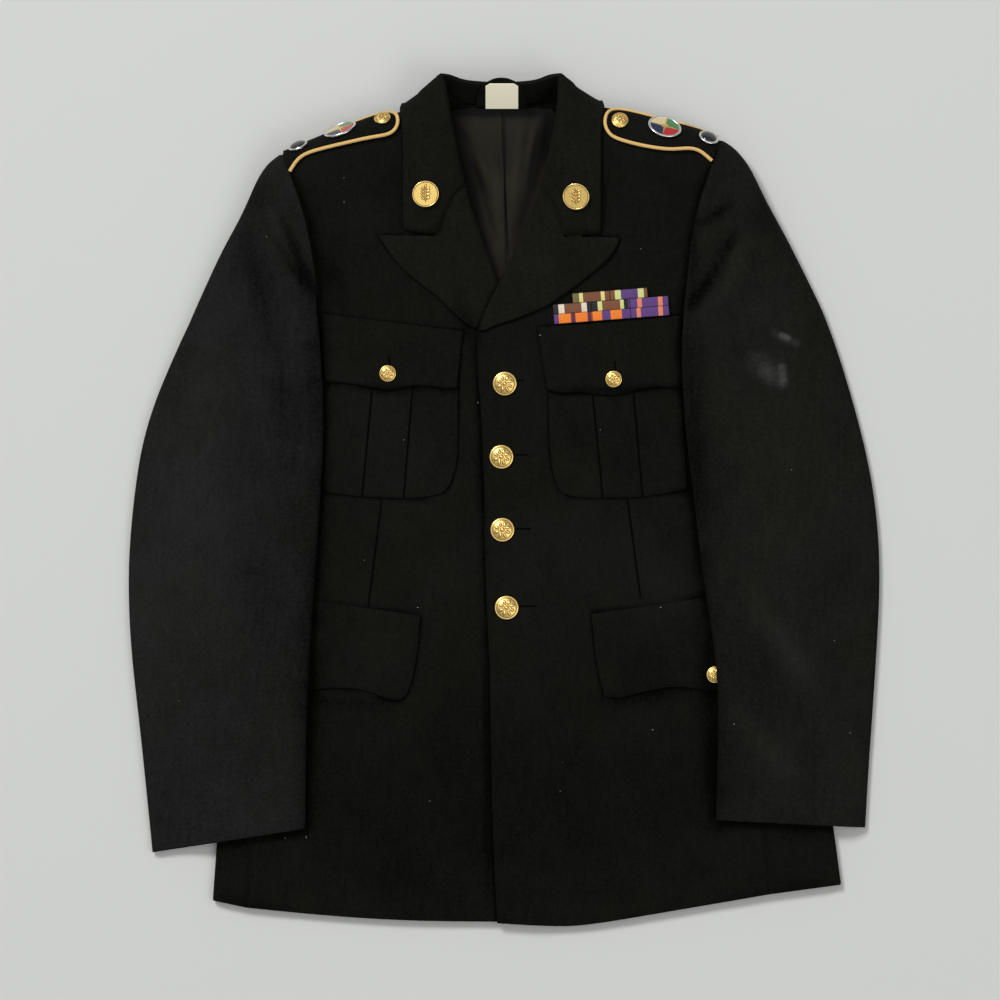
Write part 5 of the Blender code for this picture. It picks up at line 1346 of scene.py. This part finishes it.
holes = []
for x, y, length, degrees in BUTTONHOLES:
    hole = make_buttonhole(length * MM)
    hole.data.transform(Matrix.Translation((x * MM, y * MM, 0))
                        @ Matrix.Rotation(math.radians(degrees), 4, "Z"))
    lay_on(hole, cloth)
    holes.append(hole)
made["buttonholes"] = finish(join("buttonholes", *holes), None, "serge")
print("buttonholes:", len(holes))

# %% [markdown]
# ## Lint
# Black wool shows every speck. A few pale fibres lie on the cloth: each is a tiny flattened
# ball, turned its own way and laid on the height of the cloth below it.

# %% Lint
LINT = (
    # x, y, half length in millimetres, and direction
    (-151.2, 281.6, 0.8, 80), (140.5, -217.2, 0.9, 30), (327.6, -220, 0.7, 0),
    (-187.3, -318.8, 0.9, 100), (-207.2, -319.8, 0.6, 20), (-81.8, -101.3, 0.8, 5),
    (148.1, -101.3, 0.9, 8), (-24.8, 92.5, 0.9, 60), (34, 156.2, 1, 10),
    (-95.1, 57.3, 0.5, 90), (217.4, -211.5, 0.7, 45), (-245.2, -104.1, 0.5, 60),
    (-224.3, 249.2, 0.6, 110), (271.6, 28.8, 0.5, 15), (-70.5, -284.6, 0.5, 70),
    (-132.2, -56.6, 0.4, 0), (91, 66.8, 0.4, 30), (312.4, -132.6, 0.5, 130),
    (-307.9, -189.6, 0.5, 45), (53, -275.1, 0.4, 160), (129.1, 237.8, 0.4, 20),
    (-151.2, 304.4, 0.35, 0),
)
fluff = woven("lint", (0.42, 0.41, 0.36), 0.9)
specks = []
for x, y, long, degrees in LINT:
    speck = ball(fluff, (long * MM, 0.22 * MM, 0.15 * MM), (x * MM, y * MM, 0),
                 math.radians(degrees), segments=8, rings=6)
    lay_on(speck, cloth)
    specks.append(speck)
made["lint"] = finish(join("lint", *specks), None, "serge")
print("specks of lint:", len(specks))

# %% [markdown]
# ## How the cloth was cut
# Each piece of cloth is listed with the size of its flat cut, in metres. Its cut area is printed
# beside the area it measures, and a piece that was stretched would measure more.

SHEETS = [(name, *cut, "floor" if name == "back_panel" else "back_panel")
          for _, name, _, _, _, cut in PANELS]
SHEETS += [("neck_lining", 0.240, 0.175, 0.036, "back_panel"),
           ("hanging_patch", 0.048, 0.046, 0.0018, "neck_lining"),
           ("bare_label", 0.031, 0.039, 0.0012, "hanging_patch")]
for name, width, length, area, below in SHEETS:
    print("%-20s cut to %.4f, measures %.4f" % (name, area, area_of(made[name])))
